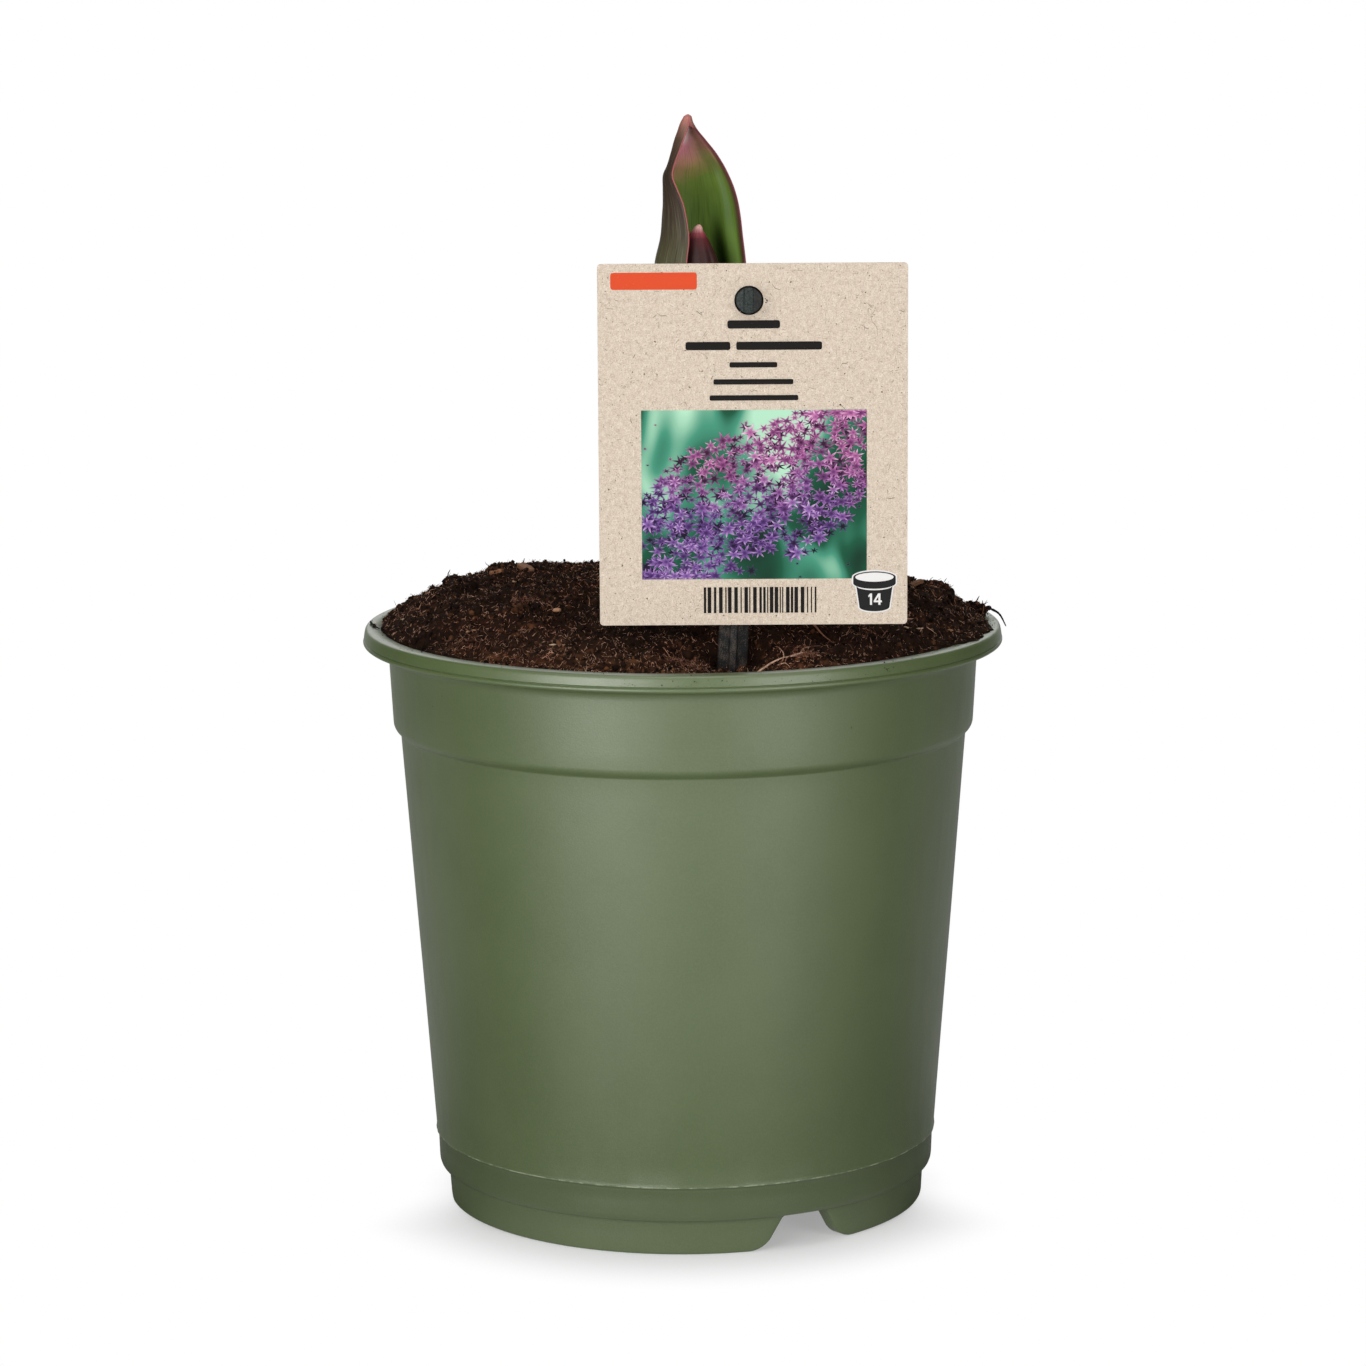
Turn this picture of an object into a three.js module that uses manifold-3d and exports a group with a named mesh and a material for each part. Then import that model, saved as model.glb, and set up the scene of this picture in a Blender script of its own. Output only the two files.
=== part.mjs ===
// Ornamental onion shoot in a round nursery pot, with its label card on a stake.
// Millimetres, +Z up. The origin is the centre of the pot's foot, on the ground. -Y is the front.
import * as THREE from 'three';
import { mergeVertices } from 'three/addons/utils/BufferGeometryUtils.js';
import Module from 'manifold-3d';

const wasm = await Module();
wasm.setup();

// Pot, moulded in one piece
const potSegments = 64;
const rimRadius = 70;
const rimTop = 128;
const lipDepth = 3.2;
const bandRadius = 64.5;
const bandFootRadius = 63.7;
const wallTopRadius = 62.1;
const wallFootRadius = 54.8;
const stepHeight = 105;
const partingHeight = 15.4;
const wall = 1.1;
const footRadius = 53;
const footHeight = 7.7;
const footWall = 1.6;
const baseThickness = 1.4;

// Openings in the foot and the base
const notchCount = 3;
const firstNotchAngle = 29;
const notchTopHalfWidth = 5;
const notchFootHalfWidth = 12.4;
const notchCornerRadius = 5;
const notchCornerBend = 50;
const notchDepth = 12;
const drainRadius = 4;
const drainRings = [{ count: 8, radius: 41 }, { count: 4, radius: 20 }];

// Peat, a dome that is lowest at the front and back and stands above the rim at both sides
const clearance = 0.3;
const soilRimRadius = 64.6;
const soilRimHeight = 126.6;
const soilSideRise = 2.8;
const heapHeight = 12.3;
const domeFullness = 2;
const sideFullness = 2.7;
const stakeDentDepth = 3.2;
const stakeDentRadius = 8;
const heapRings = [63, 60.5, 57.5, 53.5, 48.5, 42, 33, 21];

// Shoot, bulb and roots
const bulbRadius = 27;
const bulbBottom = 48;
const bulbShoulder = 96;
const neckRadius = 6.6;
const neckTop = 112;
const shootX = 4;
const shootY = 1.5;
const rootCount = 6;
const rootRadius = 1.1;
const rootStart = 5;
const rootReaches = [30, 21];
const rootDrops = [30, 35];

// Stations of the outer leaf: height, leftmost x, rightmost x, depth front to back, middle y,
// and the angles from the front, clockwise seen from above, where its two margins lie
const outerLeafStations = [
  { z: 112.3, left: -3.3, right: 11.3, depth: 14.6, y: 1.5, from: 8, to: 348 },
  { z: 128, left: -4.2, right: 12.4, depth: 15.6, y: 1.5, from: 8, to: 346 },
  { z: 145, left: -5.6, right: 13.8, depth: 16.8, y: 1.7, from: 8, to: 338 },
  { z: 165, left: -6.9, right: 15, depth: 17.4, y: 2, from: 9, to: 322 },
  { z: 185, left: -6.8, right: 15.2, depth: 17, y: 2.3, from: 12, to: 300 },
  { z: 200, left: -6.2, right: 14.7, depth: 16, y: 2.7, from: 16, to: 284 },
  { z: 207, left: -5.6, right: 14.2, depth: 15.2, y: 2.9, from: 19, to: 277 },
  { z: 213, left: -4.3, right: 13.5, depth: 14, y: 3, from: 20, to: 272 },
  { z: 220, left: -3.8, right: 12.4, depth: 12.4, y: 3, from: 29, to: 268 },
  { z: 225.8, left: -3.7, right: 10.4, depth: 10.6, y: 2.6, from: 47, to: 264 },
  { z: 230.8, left: -1.9, right: 7.6, depth: 7.6, y: 1.7, from: 44, to: 260 },
  { z: 234.4, left: -0.7, right: 4.7, depth: 4.6, y: 0.8, from: 36, to: 262 },
  { z: 238, left: 1, right: 2.9, depth: 1.9, y: 0.2, from: 20, to: 300 },
];
const outerLeafThickness = 1.2;
const outerLeafEdge = 0.5;
const outerLeafCrowding = 1.6;
const shootSocketTop = 150;
const shootSocketRoom = 0.42;

// Stations of the rolled inner leaf: height, middle x and y, radius across and front to back
const innerLeafStations = [
  { z: 112.3, x: 4, y: 1.5, across: 4.6, deep: 4.6 },
  { z: 140, x: 4.1, y: 1.6, across: 6, deep: 5.4 },
  { z: 175, x: 4.2, y: 1.7, across: 5.8, deep: 5 },
  { z: 195, x: 4.3, y: 1.6, across: 4.8, deep: 4.2 },
  { z: 207, x: 4.5, y: 1.2, across: 3.7, deep: 3.2 },
  { z: 211, x: 4.4, y: 1, across: 2.4, deep: 2.1 },
  { z: 213.6, x: 4.3, y: 0.9, across: 1.2, deep: 1.1 },
  { z: 214.8, x: 4.2, y: 0.9, across: 0.35, deep: 0.35 },
];

// Label card and the stake that holds it up
const cardWidth = 63.6;
const cardHeight = 74.8;
const cardThickness = 0.5;
const cardCornerRadius = 0.9;
const cardLeft = -17.1;
const cardBottom = 136.5;
const cardBack = -56.2;
const pegX = 14.1;
const pegZ = 203.7;
const pegRadius = 2.8;
const pegReach = 1.1;
const stakeWidth = 6.8;
const stakeThickness = 1;
const stakeRibWidth = 1.3;
const stakeRibHeight = 0.8;
const stakeSweep = 0.9;
const stakeTop = 207.4;
const stakeBottom = 66;
const stakePoint = 12;
const stakeLeanDegrees = 2.4;

// Loose pieces of the potting mix, each resting on the heap at x and y
const clods = [
  { name: 'peat_clod_crest', x: -39.5, y: 21, size: [6.2, 5.4, 2.9], lift: -0.9, turn: 15 },
  { name: 'peat_clod_left', x: -50.5, y: 19, size: [3.4, 3.6, 2.4], lift: -0.8, turn: 70 },
  { name: 'peat_clod_right', x: 56.3, y: 15, size: [5, 4.6, 3.6], lift: -1.4, turn: 130 },
  { name: 'peat_clod_rim', x: 63.6, y: 6.7, size: [3.4, 3.8, 2.8], lift: -0.6, turn: 200 },
  { name: 'peat_clod_front', x: -33, y: -31, size: [3.6, 3, 1.9], lift: -0.7, turn: 320 },
];
const chips = [
  { name: 'wood_chip_tan', x: -34.6, y: 9, length: 5.2, width: 1.9, height: 0.9, turn: -62, tip: 14 },
  { name: 'wood_chip_amber', x: -41, y: 8, length: 3.2, width: 1.3, height: 0.8, turn: -25, tip: 8 },
  { name: 'bark_flake', x: 51.3, y: 0.5, length: 3.6, width: 2.1, height: 0.9, turn: 35, tip: 8 },
];
const twigs = [
  { name: 'root_sprig', radius: 0.5, points: [[15, -58.2], [18.6, -56.8], [22.4, -54.4], [27.2, -51.2]] },
  { name: 'dry_stem', radius: 0.4, points: [[27.4, -41.5], [29.3, -43.8], [31.4, -46.4]] },
];
const chipPinch = 0.45;
const chipWave = 0.12;
const chipTwist = 0.08;
const rimTwig = { radius: 0.45, head: [67.7, 7.9, 129.6], bend: [69.8, 5.9, 128.6], tip: [71.3, 3.4, 126] };

const materials = {
  pot: { color: 0x55664a, roughness: 0.5 },
  soil: { color: 0x2b1a12, roughness: 0.98 },
  bulb: { color: 0xd9c9a8, roughness: 0.6 },
  root: { color: 0xe2d6bd, roughness: 0.7 },
  outerLeaf: { color: 0x4c6428, roughness: 0.42 },
  innerLeaf: { color: 0x54262a, roughness: 0.45 },
  card: { color: 0xd9cdbd, roughness: 0.8 },
  stake: { color: 0x262a2b, roughness: 0.55 },
  wood: { color: 0x8a5532, roughness: 0.85 },
  sprig: { color: 0xb07a52, roughness: 0.85 },
  darkTwig: { color: 0x17110d, roughness: 0.8 },
};

function toSolid(geometry) {
  const bare = geometry.clone();
  bare.deleteAttribute('normal');
  bare.deleteAttribute('uv');
  const merged = mergeVertices(bare, 1e-4);
  const corners = merged.index.array;
  const kept = [];
  for (let i = 0; i < corners.length; i += 3) {
    const [a, b, c] = [corners[i], corners[i + 1], corners[i + 2]];
    if (a !== b && b !== c && c !== a) kept.push(a, b, c);
  }
  return new wasm.Manifold(new wasm.Mesh({
    numProp: 3,
    vertProperties: merged.attributes.position.array,
    triVerts: Uint32Array.from(kept),
  }));
}

function toGeometry(solid) {
  const mesh = solid.getMesh();
  const geometry = new THREE.BufferGeometry();
  geometry.setAttribute('position', new THREE.BufferAttribute(mesh.vertProperties, 3));
  geometry.setIndex(new THREE.BufferAttribute(mesh.triVerts, 1));
  geometry.computeVertexNormals();
  return geometry;
}

function largestBody(solid) {
  return solid.decompose().sort((a, b) => b.volume() - a.volume())[0];
}

function namedMesh(name, geometry, look) {
  const material = new THREE.MeshStandardMaterial({ metalness: 0, side: THREE.FrontSide, ...look });
  const mesh = new THREE.Mesh(geometry, material);
  mesh.name = name;
  return mesh;
}

// Moves every vertex of a geometry to where the given function puts it
function reshape(geometry, place) {
  const position = geometry.attributes.position;
  const point = new THREE.Vector3();
  for (let i = 0; i < position.count; i += 1) {
    point.fromBufferAttribute(position, i);
    place(point);
    position.setXYZ(i, point.x, point.y, point.z);
  }
  return geometry;
}

// A turned body from [radius, height] pairs that run outwards along the bottom and back over the top
function turned(profile, segments) {
  const points = profile.map(([radius, height]) => new THREE.Vector2(radius, height));
  return new THREE.LatheGeometry(points, segments).rotateX(Math.PI / 2);
}

function upright(radius, bottom, top, segments, x, y) {
  const geometry = new THREE.CylinderGeometry(radius, radius, top - bottom, segments);
  return geometry.rotateX(Math.PI / 2).translate(x, y, (top + bottom) / 2);
}

// Straight blend of every number in a row of stations, sorted by height
function stationAt(stations, z) {
  const last = stations.length - 1;
  if (z >= stations[last].z) return stations[last];
  const upper = Math.max(1, stations.findIndex((station) => station.z > z));
  const [low, high] = [stations[upper - 1], stations[upper]];
  const share = Math.max(0, (z - low.z) / (high.z - low.z));
  const blend = {};
  for (const key of Object.keys(low)) blend[key] = low[key] + share * (high[key] - low[key]);
  return blend;
}

// Radius of the straight wall's outer face between the parting line and the step
function wallRadius(z) {
  return wallFootRadius + (wallTopRadius - wallFootRadius) * (z - footHeight) / (stepHeight - footHeight);
}

const innerWall = [
  [wallFootRadius - wall, footHeight + baseThickness],
  [wallRadius(partingHeight) - wall, partingHeight],
  [wallRadius(stepHeight) - wall, stepHeight - 0.4],
  [bandFootRadius - wall, stepHeight + 2.4],
  [bandRadius - wall, rimTop - 6.6],
  [bandRadius - 0.2, rimTop - 3],
  [soilRimRadius + 0.5, rimTop - 0.9],
];

function potProfile() {
  const bead = rimTop - lipDepth;
  return [
    [0, footHeight],
    [footRadius - footWall, footHeight],
    [footRadius - footWall - 0.3, 0.3],
    [footRadius - footWall, 0],
    [footRadius - 0.9, 0],
    [footRadius - 0.5, 0.3],
    [footRadius, footHeight],
    [wallFootRadius - 1.2, footHeight],
    [wallFootRadius - 0.3, footHeight + 0.5],
    [wallRadius(footHeight + 1.5), footHeight + 1.5],
    [wallRadius(partingHeight) - 0.25, partingHeight - 0.4],
    [wallRadius(partingHeight) + 0.1, partingHeight],
    [wallTopRadius, stepHeight],
    [wallTopRadius + 0.7, stepHeight + 0.7],
    [bandFootRadius - 0.2, stepHeight + 1.6],
    [bandFootRadius, stepHeight + 2.9],
    [bandRadius, rimTop - 5.4],
    [bandRadius + 0.7, bead - 1.2],
    [rimRadius - 0.6, bead - 0.6],
    [rimRadius, bead - 0.2],
    [rimRadius, bead + 0.3],
    [rimRadius - 0.35, bead + 0.7],
    [rimRadius - 0.1, bead + 1.3],
    [rimRadius - 0.2, bead + 2.3],
    [rimRadius - 0.8, rimTop - 0.3],
    [rimRadius - 4, rimTop],
    [soilRimRadius + 0.9, rimTop - 0.3],
    ...innerWall.slice().reverse(),
    [0, footHeight + baseThickness],
  ];
}

// One gap through the foot ring: narrow at the top, with round corners on the ground
function footNotch(angleDegrees) {
  const half = [];
  const turns = 4;
  for (let i = 0; i <= turns; i += 1) {
    const angle = (i / turns) * THREE.MathUtils.degToRad(notchCornerBend);
    const x = notchFootHalfWidth - notchCornerRadius * Math.sin(angle);
    half.push(new THREE.Vector2(x, notchCornerRadius * (1 - Math.cos(angle))));
  }
  half.push(new THREE.Vector2(notchTopHalfWidth, footHeight));
  const mirrored = half.slice().reverse().map((point) => new THREE.Vector2(-point.x, point.y));
  const outline = [new THREE.Vector2(notchFootHalfWidth, -1), ...half, ...mirrored];
  outline.push(new THREE.Vector2(-notchFootHalfWidth, -1));
  const options = { depth: notchDepth, bevelEnabled: false };
  const geometry = new THREE.ExtrudeGeometry(new THREE.Shape(outline), options);
  geometry.rotateX(Math.PI / 2).translate(0, notchDepth / 2 - footRadius, 0);
  return geometry.rotateZ(THREE.MathUtils.degToRad(angleDegrees));
}

function potSolid() {
  let solid = toSolid(turned(potProfile(), potSegments));
  for (let i = 0; i < notchCount; i += 1) {
    solid = solid.subtract(toSolid(footNotch(firstNotchAngle + (i * 360) / notchCount)));
  }
  for (const ring of drainRings) {
    for (let i = 0; i < ring.count; i += 1) {
      const angle = (i + 0.5) * (2 * Math.PI / ring.count);
      const [x, y] = [ring.radius * Math.cos(angle), ring.radius * Math.sin(angle)];
      const hole = upright(drainRadius, footHeight - 1, footHeight + baseThickness + 1, 12, x, y);
      solid = solid.subtract(toSolid(hole));
    }
  }
  return solid;
}

// Height of the heap at a place inside the rim
function heapHeightAt(x, y) {
  const radius = Math.max(1e-6, Math.hypot(x, y));
  const side = (x / radius) ** 2;
  const share = Math.min(1, radius / soilRimRadius);
  const edge = soilRimHeight + soilSideRise * side;
  const dome = (heapHeight - soilSideRise * side) * (1 - share ** (domeFullness + sideFullness * side));
  const dent = Math.hypot(x - stakeXAt(soilRimHeight), y - cardBack) / stakeDentRadius;
  const dentAtRim = Math.min(1, (soilRimRadius * (1 - share)) / 4);
  return edge + dome - stakeDentDepth * dentAtRim * Math.exp(-dent * dent);
}

function stakeXAt(z) {
  return pegX - (pegZ - z) * Math.tan(THREE.MathUtils.degToRad(stakeLeanDegrees));
}

// The peat block before anything is pushed into it, with its heap raised by the given amount
function peatBlock(raise) {
  const side = innerWall.map(([radius, height]) => [radius - clearance, height]);
  side[0][1] += clearance;
  side.pop();
  const rings = [soilRimRadius, ...heapRings].map((radius) => [radius, rimTop + 1]);
  const profile = [[0, side[0][1]], ...side, ...rings, [0, rimTop + 1]];
  return reshape(turned(profile, 52), (point) => {
    if (point.z > rimTop) point.z = heapHeightAt(point.x, point.y) + raise;
  });
}

const bulbProfile = [
  [0, bulbBottom],
  [9, bulbBottom],
  [17, bulbBottom + 3],
  [23.5, bulbBottom + 9],
  [bulbRadius, bulbBottom + 19],
  [25.5, bulbBottom + 29],
  [20, bulbBottom + 38],
  [13, bulbShoulder - 3],
  [9.5, bulbShoulder + 2],
  [neckRadius + 0.5, bulbShoulder + 8],
  [neckRadius, neckTop],
  [0, neckTop],
];

function bulbGeometry(grow) {
  const profile = bulbProfile.map(([radius, height]) => {
    const away = height > bulbBottom + 19 ? grow : -grow;
    return [radius === 0 ? 0 : radius + grow, height + away];
  });
  return turned(profile, 24).translate(shootX, shootY, 0);
}

// Roots leave the flat base of the bulb, sag and spread towards the pot's wall
function rootCurve(index, beyond) {
  const angle = ((index + 0.35) / rootCount) * 2 * Math.PI;
  const reach = rootReaches[index % 2];
  const drop = rootDrops[index % 2];
  const along = (distance, depth, swing) => new THREE.Vector3(
    shootX + distance * Math.cos(angle + swing),
    shootY + distance * Math.sin(angle + swing),
    bulbBottom - clearance - depth,
  );
  return new THREE.CatmullRomCurve3([
    along(rootStart, -beyond, 0),
    along(rootStart, drop * 0.1, 0),
    along(rootStart + reach * 0.38, drop * 0.45, 0.12),
    along(rootStart + reach * 0.73, drop * 0.72, -0.05),
    along(rootStart + reach + beyond, drop + beyond, 0.1),
  ]);
}

function tube(curve, radius, sides, steps) {
  const section = new THREE.Shape();
  for (let i = 0; i < sides; i += 1) {
    const angle = (i / sides) * 2 * Math.PI;
    const [x, y] = [radius * Math.cos(angle), radius * Math.sin(angle)];
    if (i === 0) section.moveTo(x, y);
    else section.lineTo(x, y);
  }
  return new THREE.ExtrudeGeometry(section, { steps, extrudePath: curve, bevelEnabled: false });
}

// The sheet of the outer leaf: a flat box, bent round the shoot and drawn to a point
function outerLeafGeometry() {
  const [across, up] = [14, 24];
  const bottom = outerLeafStations[0].z;
  const top = outerLeafStations[outerLeafStations.length - 1].z;
  const sheet = new THREE.BoxGeometry(1, 1, 1, across, 1, up);
  return reshape(sheet, (point) => {
    const rise = point.z + 0.5;
    const z = bottom + (top - bottom) * (1 - (1 - rise) ** outerLeafCrowding);
    const station = stationAt(outerLeafStations, z);
    const turn = station.from + (station.to - station.from) * (point.x + 0.5);
    const angle = THREE.MathUtils.degToRad(turn);
    const edge = 1 - Math.abs(point.x * 2) ** 6;
    const full = Math.min(outerLeafThickness, station.depth * 0.2);
    const thick = outerLeafEdge * Math.min(1, full) + (full - outerLeafEdge * Math.min(1, full)) * edge;
    const inset = (0.5 - point.y) * thick;
    const halfWidth = (station.right - station.left) / 2 - inset;
    const halfDepth = station.depth / 2 - inset;
    point.set(
      (station.left + station.right) / 2 - halfWidth * Math.sin(angle),
      station.y - halfDepth * Math.cos(angle),
      z,
    );
  });
}

function innerLeafGeometry() {
  const last = innerLeafStations.length - 1;
  const profile = [[0, 0], ...innerLeafStations.map((station, i) => [1, i]), [0, last]];
  return reshape(turned(profile, 20), (point) => {
    const station = innerLeafStations[Math.min(last, Math.max(0, Math.round(point.z)))];
    point.x = station.x + point.x * station.across;
    point.y = station.y + point.y * station.deep;
    point.z = station.z;
  });
}

// Room for the leaves in the peat, from the bulb's neck to above the heap
function shootSocket() {
  const geometry = new THREE.CylinderGeometry(1, 1, shootSocketTop - bulbShoulder, 24, 4);
  geometry.rotateX(Math.PI / 2).translate(0, 0, (shootSocketTop + bulbShoulder) / 2);
  return reshape(geometry, (point) => {
    const station = stationAt(outerLeafStations, Math.max(point.z, outerLeafStations[0].z));
    const middle = (station.left + station.right) / 2;
    point.x = middle + point.x * ((station.right - station.left) / 2 + shootSocketRoom);
    point.y = station.y + point.y * (station.depth / 2 + shootSocketRoom);
  });
}

// Cross-section of the stake: flanges swept back from a raised rib down the middle
function stakeSection(grow) {
  const half = stakeWidth / 2 + grow;
  const rib = stakeRibWidth / 2 + grow;
  const front = stakeThickness / 2 + grow;
  return new THREE.Shape([
    new THREE.Vector2(-half, stakeSweep + front),
    new THREE.Vector2(-half, stakeSweep - front + 0.3),
    new THREE.Vector2(-rib, -front),
    new THREE.Vector2(-rib, -front - stakeRibHeight),
    new THREE.Vector2(rib, -front - stakeRibHeight),
    new THREE.Vector2(rib, -front),
    new THREE.Vector2(half, stakeSweep - front + 0.3),
    new THREE.Vector2(half, stakeSweep + front),
    new THREE.Vector2(0, front),
  ]);
}

// Stake on its own axis, from its lower end up to the given height, before it leans
function stakeBlank(grow, bottom, top) {
  const options = { depth: top - bottom, bevelEnabled: false };
  const geometry = new THREE.ExtrudeGeometry(stakeSection(grow), options);
  const middle = cardBack + clearance + stakeThickness / 2 + stakeRibHeight;
  return reshape(geometry, (point) => {
    const z = bottom + point.z;
    point.x += stakeXAt(z);
    point.y += middle;
    point.z = z;
  });
}

function makeStake() {
  let solid = toSolid(stakeBlank(0, stakeBottom, stakeTop));
  for (const side of [-1, 1]) {
    const wedge = new THREE.Shape([
      new THREE.Vector2(side * 0.4, stakeBottom - 1),
      new THREE.Vector2(side * stakeWidth, stakeBottom - 1),
      new THREE.Vector2(side * stakeWidth, stakeBottom + stakePoint * 1.5),
    ]);
    const cutter = new THREE.ExtrudeGeometry(wedge, { depth: 12, bevelEnabled: false });
    cutter.rotateX(Math.PI / 2).translate(stakeXAt(stakeBottom), cardBack + 8, 0);
    solid = solid.subtract(toSolid(cutter));
  }
  const start = cardBack + clearance + stakeRibHeight + stakeThickness;
  const length = start - (cardBack - pegReach);
  const peg = new THREE.CylinderGeometry(pegRadius, pegRadius, length, 24);
  peg.translate(pegX, start - length / 2, pegZ);
  solid = solid.add(toSolid(peg));
  return namedMesh('label_stake', toGeometry(solid), materials.stake);
}

function makeCard() {
  const [w, h, r] = [cardWidth, cardHeight, cardCornerRadius];
  const outline = new THREE.Shape();
  outline.moveTo(r, 0);
  outline.lineTo(w - r, 0);
  outline.absarc(w - r, r, r, -Math.PI / 2, 0, false);
  outline.lineTo(w, h - r);
  outline.absarc(w - r, h - r, r, 0, Math.PI / 2, false);
  outline.lineTo(r, h);
  outline.absarc(r, h - r, r, Math.PI / 2, Math.PI, false);
  outline.lineTo(0, r);
  outline.absarc(r, r, r, Math.PI, 1.5 * Math.PI, false);
  const hole = new THREE.Path();
  hole.absarc(pegX - cardLeft, pegZ - cardBottom, pegRadius + clearance, 0, 2 * Math.PI, true);
  outline.holes.push(hole);
  const options = { depth: cardThickness, bevelEnabled: false, curveSegments: 8 };
  const card = namedMesh('label_card', new THREE.ExtrudeGeometry(outline, options), materials.card);
  card.rotation.x = Math.PI / 2;
  card.position.set(cardLeft, cardBack, cardBottom);
  return card;
}

// A crumbly lump: a ball with low waves over it, flattened where it lies
function clodGeometry({ x, y, size, lift, turn }, index) {
  const ball = new THREE.IcosahedronGeometry(1, 2).deleteAttribute('normal').deleteAttribute('uv');
  return reshape(mergeVertices(ball), (point) => {
    const waves = 0.09 * Math.sin(3.1 * point.x + index) + 0.08 * Math.sin(3.7 * point.y + 2 * index)
      + 0.07 * Math.cos(4.3 * point.z + point.x * 2);
    point.multiplyScalar(1 + waves);
    point.set(point.x * size[0], point.y * size[1], point.z * size[2]);
    point.applyAxisAngle(new THREE.Vector3(0, 0, 1), THREE.MathUtils.degToRad(turn));
    point.add(new THREE.Vector3(x, y, heapHeightAt(x, y) + lift));
  });
}

function chipGeometry({ x, y, length, width, height, turn, tip }) {
  const chip = new THREE.BoxGeometry(length, width, height, 4, 2, 1);
  reshape(chip, (point) => {
    const along = (2 * point.x) / length;
    point.y *= 1 - chipPinch * along ** 2;
    point.z += chipWave * Math.sin(3 * along) + chipTwist * (point.y / width);
  });
  const rest = heapHeightAt(x, y) + height * 0.9;
  chip.rotateY(THREE.MathUtils.degToRad(-tip));
  return chip.rotateZ(THREE.MathUtils.degToRad(turn)).translate(x, y, rest);
}

function twigGeometry({ radius, points }) {
  const curve = new THREE.CatmullRomCurve3(points.map(
    ([x, y]) => new THREE.Vector3(x, y, heapHeightAt(x, y) + radius * 1.3),
  ));
  return tube(curve, radius, 6, 10);
}

// What loose pieces rest on: peat and rim, both raised by the clearance, with the seam between them closed
function restingGround(pot) {
  const wider = 1 + clearance / soilRimRadius;
  const [inner, outer, foot] = [soilRimRadius - 1, soilRimRadius + 1.6, rimTop - 4];
  const seam = turned([
    [inner, foot],
    [outer, foot],
    [outer, rimTop + clearance],
    [soilRimRadius + clearance, soilRimHeight + soilSideRise + clearance],
    [inner, soilRimHeight + soilSideRise],
    [inner, foot],
  ], potSegments);
  const peat = toSolid(peatBlock(clearance).scale(wider, wider, 1));
  return peat.add(toSolid(seam)).add(pot.translate([0, 0, clearance]));
}

function makeLitter(ground) {
  const settle = (geometry) => toGeometry(largestBody(toSolid(geometry).subtract(ground)));
  const litter = new THREE.Group();
  clods.forEach((clod, i) => litter.add(namedMesh(clod.name, settle(clodGeometry(clod, i)), materials.soil)));
  for (const chip of chips) litter.add(namedMesh(chip.name, settle(chipGeometry(chip)), materials.wood));
  for (const twig of twigs) litter.add(namedMesh(twig.name, settle(twigGeometry(twig)), materials.sprig));
  const { radius, head, bend, tip } = rimTwig;
  const curve = new THREE.CatmullRomCurve3([head, bend, tip].map((point) => new THREE.Vector3(...point)));
  litter.add(namedMesh('rim_twig', tube(curve, radius, 6, 8), materials.darkTwig));
  return litter;
}

function makeSoil() {
  let solid = toSolid(peatBlock(0));
  solid = solid.subtract(toSolid(bulbGeometry(clearance)));
  solid = solid.subtract(toSolid(shootSocket()));
  solid = solid.subtract(toSolid(stakeBlank(clearance, stakeBottom - clearance, rimTop + 30)));
  for (let i = 0; i < rootCount; i += 1) {
    solid = solid.subtract(toSolid(tube(rootCurve(i, 2 * clearance), rootRadius + 2 * clearance, 6, 10)));
  }
  return namedMesh('soil', toGeometry(largestBody(solid)), materials.soil);
}

const plant = new THREE.Group();
plant.add(namedMesh('bulb', bulbGeometry(0), materials.bulb));
for (let i = 0; i < rootCount; i += 1) {
  plant.add(namedMesh(`root_${i + 1}`, tube(rootCurve(i, 0), rootRadius, 6, 10), materials.root));
}
plant.add(namedMesh('outer_leaf', outerLeafGeometry(), materials.outerLeaf));
plant.add(namedMesh('inner_leaf', innerLeafGeometry(), materials.innerLeaf));

const label = new THREE.Group();
label.add(makeCard(), makeStake());

const pot = potSolid();
const pottedPlant = new THREE.Group();
pottedPlant.add(namedMesh('pot', toGeometry(pot), materials.pot), makeSoil(), plant, label);
pottedPlant.add(makeLitter(restingGround(pot)));

export default pottedPlant;
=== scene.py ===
import math

import bmesh
import bpy
import numpy as np
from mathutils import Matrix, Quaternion, Vector, noise


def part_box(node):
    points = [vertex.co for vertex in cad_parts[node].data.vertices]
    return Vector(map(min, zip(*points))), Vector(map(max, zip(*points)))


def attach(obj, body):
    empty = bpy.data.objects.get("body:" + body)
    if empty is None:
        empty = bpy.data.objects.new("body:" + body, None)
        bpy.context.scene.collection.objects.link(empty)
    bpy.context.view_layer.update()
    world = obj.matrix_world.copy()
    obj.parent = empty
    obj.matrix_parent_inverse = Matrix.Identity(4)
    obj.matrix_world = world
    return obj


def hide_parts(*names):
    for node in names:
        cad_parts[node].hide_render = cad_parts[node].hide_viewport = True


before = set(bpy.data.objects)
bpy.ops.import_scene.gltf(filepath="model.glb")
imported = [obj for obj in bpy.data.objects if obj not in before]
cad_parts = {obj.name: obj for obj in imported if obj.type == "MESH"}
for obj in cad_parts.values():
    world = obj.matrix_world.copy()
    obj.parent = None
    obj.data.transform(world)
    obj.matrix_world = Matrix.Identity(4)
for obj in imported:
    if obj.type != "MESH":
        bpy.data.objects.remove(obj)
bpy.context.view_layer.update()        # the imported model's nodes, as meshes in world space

# Ornamental onion shoot in a round nursery pot, with a label card on a stake.
# Sizes are in millimetres until addPiece turns them into metres. -Y is the front, +Z is up.
# Angles round the pot are in degrees from the front, growing to the right.

mm = 0.001


def colourOf(parts):
    # Three numbers are a colour given from 0 to 255, and four are the linear values that shaders use
    if len(parts) == 4:
        return tuple(parts)
    shares = [c / 255 for c in parts]
    return tuple(c / 12.92 if c <= 0.04045 else ((c + 0.055) / 1.055) ** 2.4 for c in shares) + (1.0,)


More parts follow.
